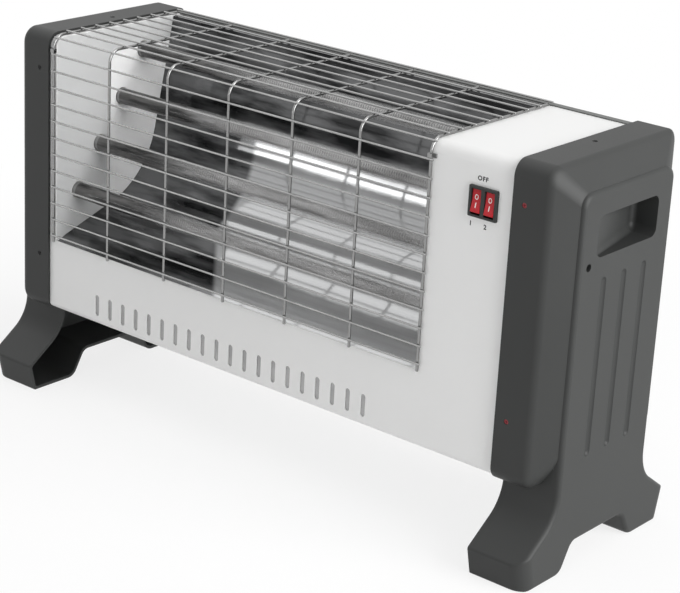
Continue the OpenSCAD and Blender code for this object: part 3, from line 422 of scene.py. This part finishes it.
# Painted light: the right part is painted pale.
clear = smoked.mix(streak, (0.32, 0.32, 0.32), (0.72, 0.72, 0.72))
collar = smoked.mix(streak, (0.22, 0.22, 0.22), (0.30, 0.30, 0.30))
quartz = smoked.mix(smoked.ramp(along_tube, *DARK_TO_LIGHT_X), painted_dark_quartz, clear)
quartz = smoked.mix(smoked.ramp(along_tube, *COLLAR_X), collar, quartz)
smoked.wear(quartz, smoked.noise(26).between(0.1, 0.2), streak, depth=0.04)
# Less see-through on the left, together with the painted shade there.
smoked.feed(Alpha=smoked.ramp(along_tube, *DARK_TO_LIGHT_X, DARK_LEFT_ALPHA, CLEAR_ALPHA))

round_end = arc((TUBE_EDGE_R, TUBE_R - TUBE_EDGE_R), TUBE_EDGE_R, 180, 90, 4)
bore_r = TUBE_R - TUBE_WALL
tube_profile = np.concatenate([round_end + [TUBE_X[0], 0], (round_end * [-1, 1])[::-1] + [TUBE_X[1], 0],
                               [[TUBE_X[1], bore_r], [TUBE_X[0], bore_r]]])
for number, (y, z) in enumerate(tube_at, 1):
    rings = turned(tube_profile[::-1]) + [0, y, z]
    tube = piece(f"smoked_tube_{number}", grid(rings, wrap_rows=True), 40)
    dressed(tube, smoked, "smoked_quartz", "heater", f"quartz_tube_{number}")


def swept(path, radius, sides, upright):
    """A tube round a path (..., n, 3): rings square to the path, turned so that one axis stays as
    near to upright as it can."""
    along = np.gradient(path, axis=-2)
    along /= np.linalg.norm(along, axis=-1, keepdims=True)
    up = upright - np.sum(upright * along, -1, keepdims=True) * along
    up /= np.linalg.norm(up, axis=-1, keepdims=True)
    side = np.cross(along, up)
    a = np.linspace(0, 2 * pi, sides, endpoint=False)[:, None]
    radius = np.broadcast_to(radius, path.shape[:-1])[..., None, None]
    spokes = up[..., None, :] * np.cos(a) + side[..., None, :] * np.sin(a)
    return path[..., None, :] + radius * spokes


COIL_R, COIL_WIRE_R, COIL_PITCH, TAIL = 4.25, 0.45, 2.6, 16.0
TURN_STEPS, TAIL_STEPS = 14, 5

# A coil's wire: a helix that swells from the axis over its first turn and shrinks back to it over
# its last, between two straight tails.
coil_l = TUBE_X[1] - TUBE_X[0] - 2 * TAIL
turns = round(coil_l / COIL_PITCH)
t = np.linspace(0, 1, turns * TURN_STEPS + 1)
swell = COIL_R * np.clip(np.minimum(t, 1 - t) * turns, 0, 1)
angle = 2 * pi * turns * t
helix = np.stack([TUBE_X[0] + TAIL + coil_l * t, swell * np.cos(angle), swell * np.sin(angle)], -1)
left_tail = np.zeros((TAIL_STEPS, 3))
left_tail[:, 0] = TUBE_X[0] + TAIL * np.arange(TAIL_STEPS) / TAIL_STEPS
right_tail = left_tail[::-1] * [-1, 1, 1] + [TUBE_X[0] + TUBE_X[1], 0, 0]
coil_path = np.concatenate([left_tail, helix, right_tail])
coil_points, coil_faces = grid(swept(coil_path, COIL_WIRE_R, 6, (1.0, 0.05, 0.03)))

coil_wire = coated("coil_wire", (0.44, 0.43, 0.42), rough=0.5, grain=3000, depth=0.01, spread=0.1,
                   Metallic=0.9)
for number, (y, z) in enumerate(tube_at, 1):
    coil = piece(f"coiled_wire_{number}", (coil_points + [0, y, z], coil_faces), 60, even=False)
    dressed(coil, coil_wire, "heating_wire", "heater", f"heating_coil_{number}")


# --- Holders, studs and straps -----------------------------------------------------------------
# Steatite holders seat the tubes outside the end plates; brass studs with nuts carry the current,
# and two straps join the left ends in pairs. All of it is hidden behind the end plates.
steatite = coated("steatite", (0.76, 0.74, 0.68), rough=0.6, grain=900, depth=0.03)
redressed(steatite, *[f"{side}_ceramic_{k}" for side in ("left", "right") for k in (1, 2, 3, 4)])
brass = coated("brass", (0.72, 0.53, 0.26), rough=0.3, grain=600, depth=0.01, spread=0.08,
               Metallic=1.0)
redressed(brass, "left_studs", "right_studs", "left_link_straps", "switch_tabs")


# --- Wire guard --------------------------------------------------------------------------------
# Drawn steel wire, spot welded and bright plated: seven cross wires run up the front, bend over
# the top fold and lie on the top; thin long wires are welded on outside them.
CROSS_R, LONG_R = 1.3, 0.9
CROSS_FIRST_X, CROSS_PITCH, CROSS_COUNT = -253.6, 72.0, 7
CROSS_Y, CROSS_Z = BODY_FRONT - CROSS_R, BODY_TOP + CROSS_R
BEND_R, CROSS_END = 11.5, WINDOW_REAR - 2
TIP, TIP_SHARE = (0, 0.2, 0.8), (0.55, 0.85)  # places from a cross wire's end, and its girth there
FRONT_PLAIN, TOP_PLAIN = 100, 80  # places from its two ends where it is plain wire
FRONT_COUNT, TOP_COUNT, LONG_PAST = 12, 9, 4
LOW_WIRE_UP, BEND_CLEAR = 6.2, 5

plated = Look("bright_plating", Metallic=1.0)
drawn = plated.noise(900)
plated.wear(plated.mix(plated.noise(30, 3), (0.25, 0.25, 0.248), (0.34, 0.34, 0.338)),
            drawn.between(0.1, 0.2), drawn, depth=0.01)

# A cross wire from the side: up the front, round the bend and back along the top.
bend = arc((CROSS_Y + BEND_R, CROSS_Z - BEND_R), BEND_R, 180, 90, 16)
foot = [[CROSS_Y, SILL_Z - CROSS_R + up] for up in (*TIP, FRONT_PLAIN)]
tail = [[CROSS_END - ahead, CROSS_Z] for ahead in (TOP_PLAIN, *TIP[::-1])]
side_path = np.concatenate([foot, bend, tail])
girth = np.ones(len(side_path))
girth[[0, 1]] = girth[[-1, -2]] = TIP_SHARE
cross_x = CROSS_FIRST_X + CROSS_PITCH * np.arange(CROSS_COUNT)
cross_path = np.zeros((CROSS_COUNT, len(side_path), 3))
cross_path[..., 0] = cross_x[:, None]
cross_path[..., 1:] = side_path
cross = piece("cross_wires", grid(swept(cross_path, CROSS_R * girth, 20, (1.0, 0.0, 0.0))), 60)
dressed(cross, plated, "guard_wire", "heater", "guard_cross_wires")


def rounded_ends(length, radius):
    """Places and radii along a wire whose ends are rounded over by a quarter of an ellipse."""
    a = np.radians(np.linspace(4, 90, 4))
    tip = np.stack([0.6 * radius * (1 - np.cos(a)), radius * np.sin(a)], -1)
    back = np.stack([length - tip[::-1, 0], tip[::-1, 1]], -1)
    return np.concatenate([tip, back])


def straight_wires(places, x0, x1, radius):
    """Wires along X through each (depth, height) of places."""
    stations = rounded_ends(x1 - x0, radius)
    path = np.zeros((len(places), len(stations), 3))
    path[..., 0] = x0 + stations[:, 0]
    path[..., 1:] = np.array(places)[:, None]
    return swept(path, stations[:, 1], 16, (0.0, 0.0, 1.0))


front_y, top_z = CROSS_Y - CROSS_R - LONG_R, CROSS_Z + CROSS_R + LONG_R
low_z, high_z = SILL_Z + LOW_WIRE_UP, CROSS_Z - BEND_R - BEND_CLEAR
front_places = [(front_y, z) for z in np.linspace(low_z, high_z, FRONT_COUNT)]
corner = (BEND_R + CROSS_R + LONG_R) * sqrt(0.5)
front_places.append((CROSS_Y + BEND_R - corner, CROSS_Z - BEND_R + corner))
first_y, last_y = CROSS_Y + BEND_R + BEND_CLEAR, WINDOW_REAR - LONG_R
top_places = [(y, top_z) for y in np.linspace(first_y, last_y, TOP_COUNT)]
long_x = (cross_x[0] - CROSS_R, cross_x[-1] + LONG_PAST)
for name, places, node in (("front_wires", front_places, "guard_front_wires"),
                           ("top_wires", top_places, "guard_top_wires")):
    wires = piece(name, grid(straight_wires(places, *long_x, LONG_R)), 60)
    dressed(wires, plated, "guard_wire", "heater", node)
redressed(plated, "guard_clips")


# --- End covers --------------------------------------------------------------------------------
# Two injection moulded shells, dark grey with a fine grain. Each is a flat band beside the body, a
# bevel up to the outer panel with its handle recess, and one leg with a splayed foot at each end.
EDGE_X, BAND_X, FACE_X = 259.2, 292.4, 313.0
COVER_FRONT, COVER_REAR, COVER_LOW, COVER_TOP = -83.7, 92.2, 76.55, 344.35
FRONT_R, REAR_R = 13.0, 6.0
PANEL_HALF, PANEL_LOW, PANEL_TOP = 64.0, 98.05, 323.85
PANEL_R, BRIM_R = 0.8 * FRONT_R, 0.6 * FRONT_R
CREASE_IN, CREASE_SHARE = 4.0, 0.2
EDGE_R, TOE_R, RIM_R = 4.0, 14.0, 0.8
WALL, ROOM = 2.8, 0.15
PAST = 1.0  # how far a hollow starts outside the cover's open side


def soft_corner(before, corner, after, steps):
    """A crease rounded by the curve whose middle control point is the sharp corner."""
    s = np.linspace(0, 1, steps + 1)[:, None]
    return before * (1 - s) ** 2 + 2 * corner * s * (1 - s) + after * s**2


def side_line(front, rear, low, top, r, rear_r, steps=14):
    """A rectangle in (depth, height) with its own corner radius at the rear, anticlockwise as seen
    from +X."""
    corners = ((rear - rear_r, low + rear_r, rear_r, 270), (rear - rear_r, top - rear_r, rear_r, 0),
               (front + r, top - r, r, 90), (front + r, low + r, r, 180))
    return np.concatenate([arc((y, z), q, a, a + 90, steps) for y, z, q, a in corners])


def cover_block(inset, x0, x_face, rear):
    """The bevelled shell as rings: the band's outline blends into the panel's along a side profile
    of (x, share of the panel), whose crease is soft, and the panel's edge is rounded over."""
    band = side_line(COVER_FRONT + inset, rear, COVER_LOW + inset, COVER_TOP - inset,
                     FRONT_R - inset / 2, REAR_R - inset / 2)
    panel, brim = [side_line(d - PANEL_HALF, PANEL_HALF - d, PANEL_LOW + d, PANEL_TOP - d, r, r)
                   for d, r in ((inset, PANEL_R), (inset + EDGE_R, BRIM_R))]
    crease = np.array([BAND_X - inset * 0.4, 0.0])
    edge = np.array([x_face - EDGE_R, 1.0])
    soft = soft_corner(crease - [CREASE_IN, 0], crease, crease + (edge - crease) * CREASE_SHARE, 6)
    profile = np.concatenate([[[x0, 0.0]], soft, [edge]])
    x, share = profile[:, 0, None, None], profile[:, 1, None, None]
    shell_rings = np.concatenate([np.broadcast_to(x, (len(profile), len(band), 1)),
                                  (1 - share) * band + share * panel], -1)
    turn = np.radians(np.linspace(15, 90, 6))[:, None, None]
    edge_x = np.broadcast_to(edge[0] + EDGE_R * np.sin(turn), (6, len(band), 1))
    edge_rings = np.concatenate([edge_x, panel + (brim - panel) * (1 - np.cos(turn))], -1)
    return np.concatenate([shell_rings, edge_rings])


def inset_line(line, distance):
    """A closed anticlockwise outline moved inwards: each corner goes along its mitre."""
    before, after = line - np.roll(line, 1, 0), np.roll(line, -1, 0) - line
    normals = [np.stack([-v[:, 1], v[:, 0]], -1) / np.linalg.norm(v, axis=1, keepdims=True)
               for v in (before, after)]
    lean = 1 + np.sum(normals[0] * normals[1], -1, keepdims=True)
    return line + distance * (normals[0] + normals[1]) / lean


def eased(line, corners, length):
    """A closed outline whose corners, given by their numbers, turn along a short curve that
    starts at length before the corner and ends at length after it."""
    for i in sorted(corners, reverse=True):
        to_last, to_next = line[i - 1] - line[i], line[(i + 1) % len(line)] - line[i]
        soft = soft_corner(line[i] + to_last * length / np.linalg.norm(to_last), line[i],
                           line[i] + to_next * length / np.linalg.norm(to_next), 4)
        line = np.concatenate([line[:i], soft, line[i + 1:]])
    return line


def leg_line(inset, pull):
    """The leg from the side: neck, splay, instep, toe, sole and the arch between the feet, moved
    inwards by inset, and the leaning side from toe to sole by pull; the corners there are soft."""
    neck, splay_z, splay_r, instep = 63.7, 75.0, 37.0, radians(35)
    neck_z, toe, sole, gap, toe_ease = PANEL_LOW + 60, 107.0, 101.0, 57.0, 2.0
    arch_h, low_r, top_r, lean = 24.3, 12.0, 9.0, radians(60)
    splay = arc((neck + splay_r, splay_z), splay_r, 180, 235, 16)
    toe_z = splay[-1, 1] - (toe - splay[-1, 0]) * tan(instep)
    side = (toe - sole) / toe_z
    sole -= max(0, pull - inset) * sqrt(1 + side**2)
    toe_z = (splay[-1, 1] - (sole - splay[-1, 0]) * tan(instep)) / (1 + side * tan(instep))
    low = arc((gap, low_r), low_r, 270, 210, 8)
    turn_z = arch_h - top_r * (1 - cos(lean))
    arch_y = low[-1, 0] - (turn_z - low[-1, 1]) / tan(lean) - top_r * sin(lean)
    high = arc((arch_y, arch_h - top_r), top_r, 30, 90, 8)
    half = np.concatenate([[[neck, neck_z]], splay, [[sole + side * toe_z, toe_z], [sole, 0]],
                           low, high])
    whole = inset_line(np.concatenate([half * [-1, 1], half[::-1]]), inset)
    toe_at, last = len(splay) + 1, len(whole) - 1
    return eased(whole, (toe_at, toe_at + 1, last - toe_at, last - toe_at - 1), toe_ease)


def leg_rings(wall, x0, edge):
    """The leg's rings from x0 to its face: seen from above its toes follow a quarter circle of
    TOE_R less the wall, and its rim follows one of radius edge."""
    face, r = FACE_X - wall, TOE_R - wall
    far = np.concatenate([[x0], face - r + r * np.sin(np.radians([0, 12, 24, 35]))])
    near = face - edge + edge * np.sin(np.radians(np.linspace(0, 90, 7)))
    rings = []
    for x in np.concatenate([far, near]):
        pull = r - sqrt(r**2 - max(0, x - face + r) ** 2)
        rim = edge - sqrt(edge**2 - max(0, x - face + edge) ** 2)
        rings.append(along_x(leg_line(wall + rim, wall + pull), (x,)))
    return np.concatenate(rings)


cover = piece("end_cover", grid(cover_block(0, EDGE_X, FACE_X, COVER_REAR)))
carve(cover, grid(leg_rings(0, EDGE_X, EDGE_R)), "UNION")

# The hollow side: the room behind the bevel, the room for the body's end and the hollow leg.
body_room = np.concatenate([body_line(-ROOM), [[BODY_REAR + ROOM, BODY_TOP + ROOM],
                                               [BODY_REAR + ROOM, BODY_LOW - ROOM]]])
for hollow in (cover_block(WALL + 1, EDGE_X - PAST, FACE_X - WALL, BODY_REAR - ROOM),
               along_x(body_room[::-1], (EDGE_X - PAST, SHELL_X + ROOM)),
               leg_rings(WALL, EDGE_X - PAST, RIM_R)):
    carve(cover, grid(hollow))

# The handle recess is shallow at its front and deep at its rear, with a rounded floor.
GRIP_Z, GRIP_H, GRIP_L = 286.35, 34.5, 85.0
GRIP_R, GRIP_FLOOR_R, GRIP_WALL = 7.0, 6.5, 2.2
GRIP_SHALLOW, GRIP_FALL, GRIP_OUT, GRIP_SUNK = 3.0, 21.5, 4.0, 1.5


def grip_rings(wall):
    """Rings of the recess from its floor to GRIP_OUT outside the panel: a rounded oblong whose
    depth grows from front to rear; towards the floor they shrink along a quarter circle."""
    a = np.radians(np.linspace(0, 90, 6))
    rings = []
    for share, shrink in [(0, 0), *zip(1 - 0.25 * (1 - np.sin(a)), GRIP_FLOOR_R * (1 - np.cos(a)))]:
        line = oblong(GRIP_L / 2 + wall - shrink, GRIP_H / 2 + wall - shrink, GRIP_R + wall - shrink)
        depth = GRIP_SHALLOW + wall + (line[:, 0] + GRIP_L / 2) / GRIP_L * GRIP_FALL
        rings.append(np.stack([FACE_X - depth * share, line[:, 0], line[:, 1] + GRIP_Z], -1))
    return np.array([rings[0] + [GRIP_OUT, 0, 0], *rings][::-1])


grip_shell = grip_rings(GRIP_WALL)[:-1]
grip_shell[-1, :, 0] -= GRIP_SUNK
carve(cover, grid(grip_shell), "UNION")
carve(cover, grid(grip_rings(0)))

# Three upright grooves, as round bars that dip into the panel.
GROOVE_R, GROOVE_DEEP, GROOVE_TOP, GROOVE_L = 4.6, 2.2, 247.35, 145.0
GROOVE_Y = (-28.7, 0, 28.7)
dome = np.radians(np.linspace(88, 0, 7))
bar_z = np.concatenate([GROOVE_TOP + GROOVE_R * np.sin(dome),
                        GROOVE_TOP - GROOVE_L - GROOVE_R * np.sin(dome[::-1])])[:, None]
bar_r = GROOVE_R * np.concatenate([np.cos(dome), np.cos(dome[::-1])])[:, None]
a = np.linspace(0, 2 * pi, 32, endpoint=False)
bar = np.stack([bar_r * np.cos(a), bar_r * np.sin(a), bar_z + 0 * a], -1)[::-1]
carve(cover, grid(copies(bar, [(FACE_X + GROOVE_R - GROOVE_DEEP, y, 0) for y in GROOVE_Y])))

# Screw holes: two at the front, two at the rear and one on top, and the deep well beside the grip.
SCREW_X, SCREW_Z, TOP_SCREW_Y = EDGE_X + 11.3, (310.4, 131.5), 7.25
HOLE_R, HOLE_DEEP, REAR_HOLE_DEEP, DRILL_OUT = 2.25, 8, 12, 2
WELL_Y, WELL_Z, WELL_R, WELL_DEEP = -52.0, 263.85, 3.25, 28
WELL_OUTER_R, WELL_END, WELL_FACE = 5.4, 0.5, FACE_X - 1


def drill(place, direction, radius, depth):
    """A round hole along direction, from DRILL_OUT before place to depth past it."""
    ends = np.array(place, float) + np.outer((-DRILL_OUT, depth), direction)
    upright = (0.0, 0.0, 1.0) if abs(direction[2]) < 0.5 else (1.0, 0.0, 0.0)
    return grid(swept(ends, radius, 24, upright))


for y, inwards, depth in ((COVER_FRONT, 1.0, HOLE_DEEP), (COVER_REAR, -1.0, REAR_HOLE_DEEP)):
    for z in SCREW_Z:
        carve(cover, drill((SCREW_X, y, z), (0.0, inwards, 0.0), HOLE_R, depth))
carve(cover, drill((SCREW_X, TOP_SCREW_Y, COVER_TOP), (0.0, 0.0, -1.0), HOLE_R, HOLE_DEEP))
well = drill((WELL_FACE, WELL_Y, WELL_Z), (-1.0, 0.0, 0.0), WELL_OUTER_R, WELL_DEEP + WELL_END)
well[0][:, 0] = np.minimum(well[0][:, 0], WELL_FACE)
carve(cover, well, "UNION")
carve(cover, drill((FACE_X, WELL_Y, WELL_Z), (-1.0, 0.0, 0.0), WELL_R, WELL_DEEP))
softened(cover, 32)

grained = Look("grained_plastic", IOR=1.5, Specular_IOR_Level=0.3)
grain = grained.noise(1300, 3)
soft = grained.noise(14, 3)
grained.wear(grained.mix(soft, (0.028, 0.0292, 0.0285), (0.035, 0.0363, 0.0355)),
             soft * 0.08 + grain * 0.1 + 0.42, grain, depth=0.03)
cover.name = "right_cover"
mirrored = cover.data.copy()
mirrored.transform(Matrix.Diagonal((-1, 1, 1, 1)))
mirrored.flip_normals()
left_cover = softened(placed("left_cover", mirrored), 32)
dressed(cover, grained, "cover_plastic", "heater", "right_side_cover")
dressed(left_cover, grained, "cover_plastic", "heater", "left_side_cover")


# --- Screws ------------------------------------------------------------------------------------
# Cross-head steel screws sunk in the covers: blackened, but lacquered red at the right front, and
# bright zinc in the wells. The rocker pin and the terminal screws have the same zinc.
blackened = coated("blackened_steel", (0.03, 0.03, 0.03), rough=0.4, grain=900, depth=0.01,
                   spread=0.2, Metallic=0.6)
lacquered = coated("red_lacquer", (0.30, 0.02, 0.03), rough=0.35, grain=900, depth=0.01, spread=0.1)
zinc_screw = coated("zinc_screw", (0.50, 0.51, 0.52), rough=0.35, grain=900, depth=0.01, spread=0.1,
                    Metallic=1.0)
redressed(blackened, "left_front_screws", "top_screws", "rear_screws")
redressed(lacquered, "right_front_screws")
redressed(zinc_screw, "well_screws", "terminal_screws", "rocker_pin")


# --- Rocker switch -----------------------------------------------------------------------------
# A double switch snapped into the front: black moulded frame with two pockets, and two glossy red
# rockers on one steel pin, each marked with a ring for off and a bar for on.
FRAME_W, FRAME_H, FRAME_T, FRAME_R = 27.6, 25.4, 2.4, 0.9
CASE_W, CASE_H, CASE_R, CASE_DEEP = 24.6, 22.8, 0.6, 21.9
ROCKER_MID, ROCKER_W, ROCKER_R, THROW = 6.45, 8.8, 10.2, 16.0
POCKET_GAP, POCKET_R, POCKET_DEEP = 0.35, 0.4, 7.85
PIVOT_IN = 2.6
FACE_DIP, FACE_TIP, FACE_END = 0.38 * ROCKER_R, 0.452 * ROCKER_R, 0.892 * ROCKER_R
MARK_UP, MARK_SUNK = 0.09, 0.1
RING_Z, BAR_Z = 3.1, -3.4

# The frame's front edge is rounded over: depths, and the insets of its outline there.
frame_edge = ((-FRAME_T, 0.9), (-FRAME_T + 0.1, 0.45), (-FRAME_T + 0.45, 0.1), (-FRAME_T + 0.9, 0),
              (-0.02, 0))
frame_rings = [along_y(oblong(FRAME_W / 2 - inset, FRAME_H / 2 - inset, FRAME_R - inset / 2, 6),
                       (BODY_FRONT + y,)) for y, inset in frame_edge]
housing = piece("switch_frame", grid(np.concatenate(frame_rings) + switch_at))
case = along_y(oblong(CASE_W / 2, CASE_H / 2, CASE_R, 3), (BODY_FRONT - 0.1, BODY_FRONT + CASE_DEEP))
carve(housing, grid(case + switch_at), "UNION")
pocket = along_y(oblong(ROCKER_W / 2 + POCKET_GAP, ROCKER_R + POCKET_GAP, POCKET_R, 3),
                 (BODY_FRONT - FRAME_T - 1, BODY_FRONT + POCKET_DEEP))
carve(housing, grid(copies(pocket + switch_at, [(-ROCKER_MID, 0, 0), (ROCKER_MID, 0, 0)])))
softened(housing)
moulded = coated("switch_black", (0.028, 0.030, 0.029), rough=0.4, grain=1600, depth=0.02,
                 spread=0.1, Specular_IOR_Level=0.3)
dressed(housing, moulded, "switch_plastic", "heater", "switch_housing")


def joined(*shapes):
    """Several shapes as one."""
    corners, faces, count = [], [], 0
    for points, polygons in shapes:
        corners.append(points)
        faces += [[i + count for i in face] for face in polygons]
        count += len(points)
    return np.concatenate(corners), faces


def face_depth(z):
    """Depth of a rocker's face at a height: it grows from the dip at the pin to both tips with the
    height's power of 1.15, so two faces meet in a shallow hollow."""
    return -FACE_DIP - (FACE_TIP - FACE_DIP) * np.abs(z / FACE_END) ** 1.15


def rocker_line():
    """A rocker from the side about its pin: its face, two ends and a flat rear; depth first, then
    height, anticlockwise as seen from +X."""
    z = np.linspace(FACE_END, -FACE_END, 17)
    rear = np.array([[-0.3, -0.94], [0.32, -0.72], [0.32, 0.72], [-0.3, 0.94]]) * ROCKER_R
    return np.concatenate([np.stack([face_depth(z), z], -1), rear])


def tilted(points):
    """Turns points given about the pin to a rocker's rest, half the throw towards off."""
    a = radians(-THROW / 2)
    y, z = points[..., 1], points[..., 2]
    return np.stack([points[..., 0], BODY_FRONT + PIVOT_IN + y * cos(a) - z * sin(a),
                     SWITCH_Z + y * sin(a) + z * cos(a)], -1)


def mark(outer, inner=None):
    """A raised mark on a rocker's face: an outline of (x, z), or the band between two outlines,
    laid on the face and lifted off it; its rim goes back into the face."""
    levels = [(outer, -MARK_SUNK), (outer, MARK_UP)]
    if inner is not None:
        levels += [(inner, MARK_UP), (inner, -MARK_SUNK)]
    rings = [np.stack([line[:, 0], face_depth(line[:, 1]) - out, line[:, 1]], -1) for line, out in levels]
    return grid(np.array(rings), wrap_rows=inner is not None)


glossy_red = coated("glossy_red", (0.50, 0.016, 0.025), rough=0.3, grain=500, depth=0.006,
                    spread=0.06, Specular_IOR_Level=0.25)
mark_white = coated("mark_paint", (0.90, 0.86, 0.84), rough=0.4, grain=900, depth=0.006, spread=0.03)

rocker_side = rocker_line()
rounded = ((0, 0.5), (0.15, 0.15), (0.5, 0))  # places from a rocker's side, and its inset there
stations = [(d - ROCKER_W / 2, inset) for d, inset in rounded]
stations += [(ROCKER_W / 2 - d, inset) for d, inset in rounded[::-1]]
rings = [along_x(inset_line(rocker_side, inset), (x,)) for x, inset in stations]
rocker_points, rocker_faces = grid(np.concatenate(rings)[::-1])
ring_outer, ring_inner = oblong(1.6, 2.1, 1.6) + [0, RING_Z], oblong(1.0, 1.45, 1.0) + [0, RING_Z]
bar_line = oblong(0.42, 2.1, 0.3, 3) + [0, BAR_Z]
mark_points, mark_faces = joined(mark(ring_outer, ring_inner), mark(bar_line))
for number, side in ((1, -1), (2, 1)):
    middle = [SWITCH_X + side * ROCKER_MID, 0, 0]
    rocker = piece(f"red_rocker_{number}", (tilted(rocker_points) + middle, rocker_faces), 35)
    dressed(rocker, glossy_red, "rocker_plastic", f"rocker_{number}", f"rocker_{number}")
    marks = piece(f"rocker_marks_{number}", (tilted(mark_points) + middle, mark_faces))
    dressed(marks, mark_white, "rocker_plastic", f"rocker_{number}")


# --- Printing on the front ---------------------------------------------------------------------
# Small dark screen printing on the powder coat round the switch: OFF above it, 1 and 2 below the
# rockers. The ink is a skin of 0.03 mm.
INK, BOLDER = 0.03, 0.17
CAP_SHARE, SPACING = 0.72, 1.2  # a capital's height by the font's size, and the letters' spacing

ink_dark = coated("print_dark", (0.012, 0.012, 0.014), rough=0.6, grain=900, depth=0.004, spread=0.1,
                  Specular_IOR_Level=0.2)


def printed(name, words, x, z, height):
    """Letters as a thin mesh on the front, centred on x, with their foot at z."""
    curve = bpy.data.curves.new(name, "FONT")
    curve.body, curve.align_x = words, "CENTER"
    curve.size, curve.extrude = height / CAP_SHARE * MM, INK * MM
    curve.space_character, curve.offset = SPACING, BOLDER * MM
    holder = placed(name + "_curve", curve)
    mesh = finished_mesh(holder, name)
    bpy.data.objects.remove(holder)
    mesh.transform(Matrix.Translation((x * MM, (BODY_FRONT - INK) * MM, z * MM))
                   @ Matrix.Rotation(pi / 2, 4, "X"))
    dressed(placed(name, mesh), ink_dark, "body_paint")


printed("word_off", "OFF", 228.6, 319.5, 3.7)
printed("digit_one", "1", 219.7, 281.6, 3.9)
printed("digit_two", "2", 233.8, 281.4, 3.9)


# --- Wiring space ------------------------------------------------------------------------------
# Parts on the floor and the end plate behind the switch: a terminal block, a tilt switch, a
# thermal cut-out and their silicone leads, and the cable gland in the back panel.
for name, colour, rough, grain, depth, spread, node in (
        ("block_nylon", (0.72, 0.69, 0.60), 0.5, 800, 0.02, 0.04, "terminal_block"),
        ("tilt_case", (0.78, 0.78, 0.76), 0.45, 800, 0.02, 0.04, "tilt_switch"),
        ("cutout_case", (0.03, 0.03, 0.03), 0.4, 800, 0.02, 0.1, "thermal_cutout"),
        ("silicone_sleeve", (0.36, 0.05, 0.04), 0.5, 500, 0.03, 0.08, "inner_leads"),
        ("gland_nylon", (0.02, 0.02, 0.02), 0.45, 900, 0.02, 0.1, "cable_gland")):
    redressed(coated(name, colour, rough, grain, depth, spread), node)


# --- Studio ------------------------------------------------------------------------------------
# A white floor under large soft lamps above, on the left and on the right; a low strip lamp at the
# front left draws the white band in the reflector. The camera stands at the photograph's angle: a
# 111 mm lens, about 1.9 m away, looking down by 20 degrees.
CAMERA_AT, CAMERA_TURN, LENS = (1.11892, -1.34438, 0.78601), (69.7758, -2.8797, 40.1283), 110.67
FLOOR_HALF = 9000.0
FLOOR_NEAR, FLOOR_FAR, NEAR_SHARE = 350, 900, 0.80
WORLD_LIGHT, WORLD_SEEN = 0.30, 1.0

camera = placed("camera", bpy.data.cameras.new("camera"))
bpy.context.scene.camera = camera
turn = Euler([radians(angle) for angle in CAMERA_TURN])
camera.matrix_world = Matrix.LocRotScale(CAMERA_AT, turn, None)
camera.data.sensor_width, camera.data.lens = 36.0, LENS
camera.data.clip_end = 50.0

corners = FLOOR_HALF * np.array([[-1, -1, 0], [1, -1, 0], [1, 1, 0], [-1, 1, 0]])
floor = piece("floor", (corners, [(0, 1, 2, 3)]), even=False)


def seen(tree):
    """A socket that is 1 for what the camera, metal and glass show, and 0 for what lights things."""
    path = tree.nodes.new("ShaderNodeLightPath")
    total = path.outputs["Is Camera Ray"]
    for name in ("Is Glossy Ray", "Is Transmission Ray"):
        add = tree.nodes.new("ShaderNodeMath")
        add.operation, add.use_clamp = "ADD", True
        tree.links.new(total, add.inputs[0])
        tree.links.new(path.outputs[name], add.inputs[1])
        total = add.outputs[0]
    return total


# The floor shows mostly white, wholly so from 0.9 m away, and keeps a soft shadow near the heater.
pale = Look("pale_floor", Roughness=0.9, Specular_IOR_Level=0.0)
pale.feed(Base_Color=pale.mix(pale.noise(3), (0.90, 0.90, 0.90), (0.92, 0.92, 0.92)))
away = pale.node("ShaderNodeVectorMath", {"operation": "LENGTH"}, pale.place, out="Value")
share = pale.ramp(away, FLOOR_NEAR, FLOOR_FAR, NEAR_SHARE, 1.0) * Num(pale, seen(pale.tree))
glow = pale.node("ShaderNodeEmission", {}, (1, 1, 1, 1), 1.0)
lit = Num(pale, pale.shader.outputs[0])
blend = pale.node("ShaderNodeMixShader", {}, share, lit, glow)
pale.tree.links.new(blend.socket, pale.tree.nodes["Material Output"].inputs["Surface"])
floor.data.materials.append(pale.material)

world = bpy.data.worlds.new("studio")
bpy.context.scene.world = world
world.use_nodes = True
sky = world.node_tree
level = sky.nodes.new("ShaderNodeMapRange")
level.inputs["To Min"].default_value, level.inputs["To Max"].default_value = WORLD_LIGHT, WORLD_SEEN
sky.links.new(seen(sky), level.inputs["Value"])
sky.links.new(level.outputs[0], sky.nodes["Background"].inputs["Strength"])
sky.nodes["Background"].inputs["Color"].default_value = (1, 1, 1, 1)


def direction_turn(axis):
    """The turn that brings +Z onto an axis and keeps +X nearly square to the Y axis."""
    z = axis / np.linalg.norm(axis)
    x = np.cross([0.0, 1.0, 0.01], z)
    x /= np.linalg.norm(x)
    return Matrix(np.stack([x, np.cross(z, x), z], -1).tolist()).to_4x4()


def softbox(name, place, target, size, watts, wide=None):
    """An area lamp at place, aimed at target, in metres: square unless its width is given."""
    lamp = placed(name, bpy.data.lights.new(name, "AREA"))
    lamp.data.shape, lamp.data.energy = "RECTANGLE", watts
    lamp.data.size, lamp.data.size_y = size, wide or size
    lamp.matrix_world = Matrix.Translation(place) @ direction_turn(np.array(place) - np.array(target))


softbox("top_light", (0.6, -0.2, 2.5), (0, 0, 0.2), size=2.9, watts=17)
softbox("left_light", (-1.8, 0.0, 2.3), (0, 0, 0.3), size=3.2, watts=22)
softbox("right_light", (2.6, 0.1, 1.1), (0, 0, 0.2), size=2.2, watts=100)
softbox("front_strip", (-1.8, -2.3, 0.290), (0, 0, 0.25), size=0.155, watts=3.2, wide=1.5)

bpy.context.scene.view_settings.view_transform = "Standard"
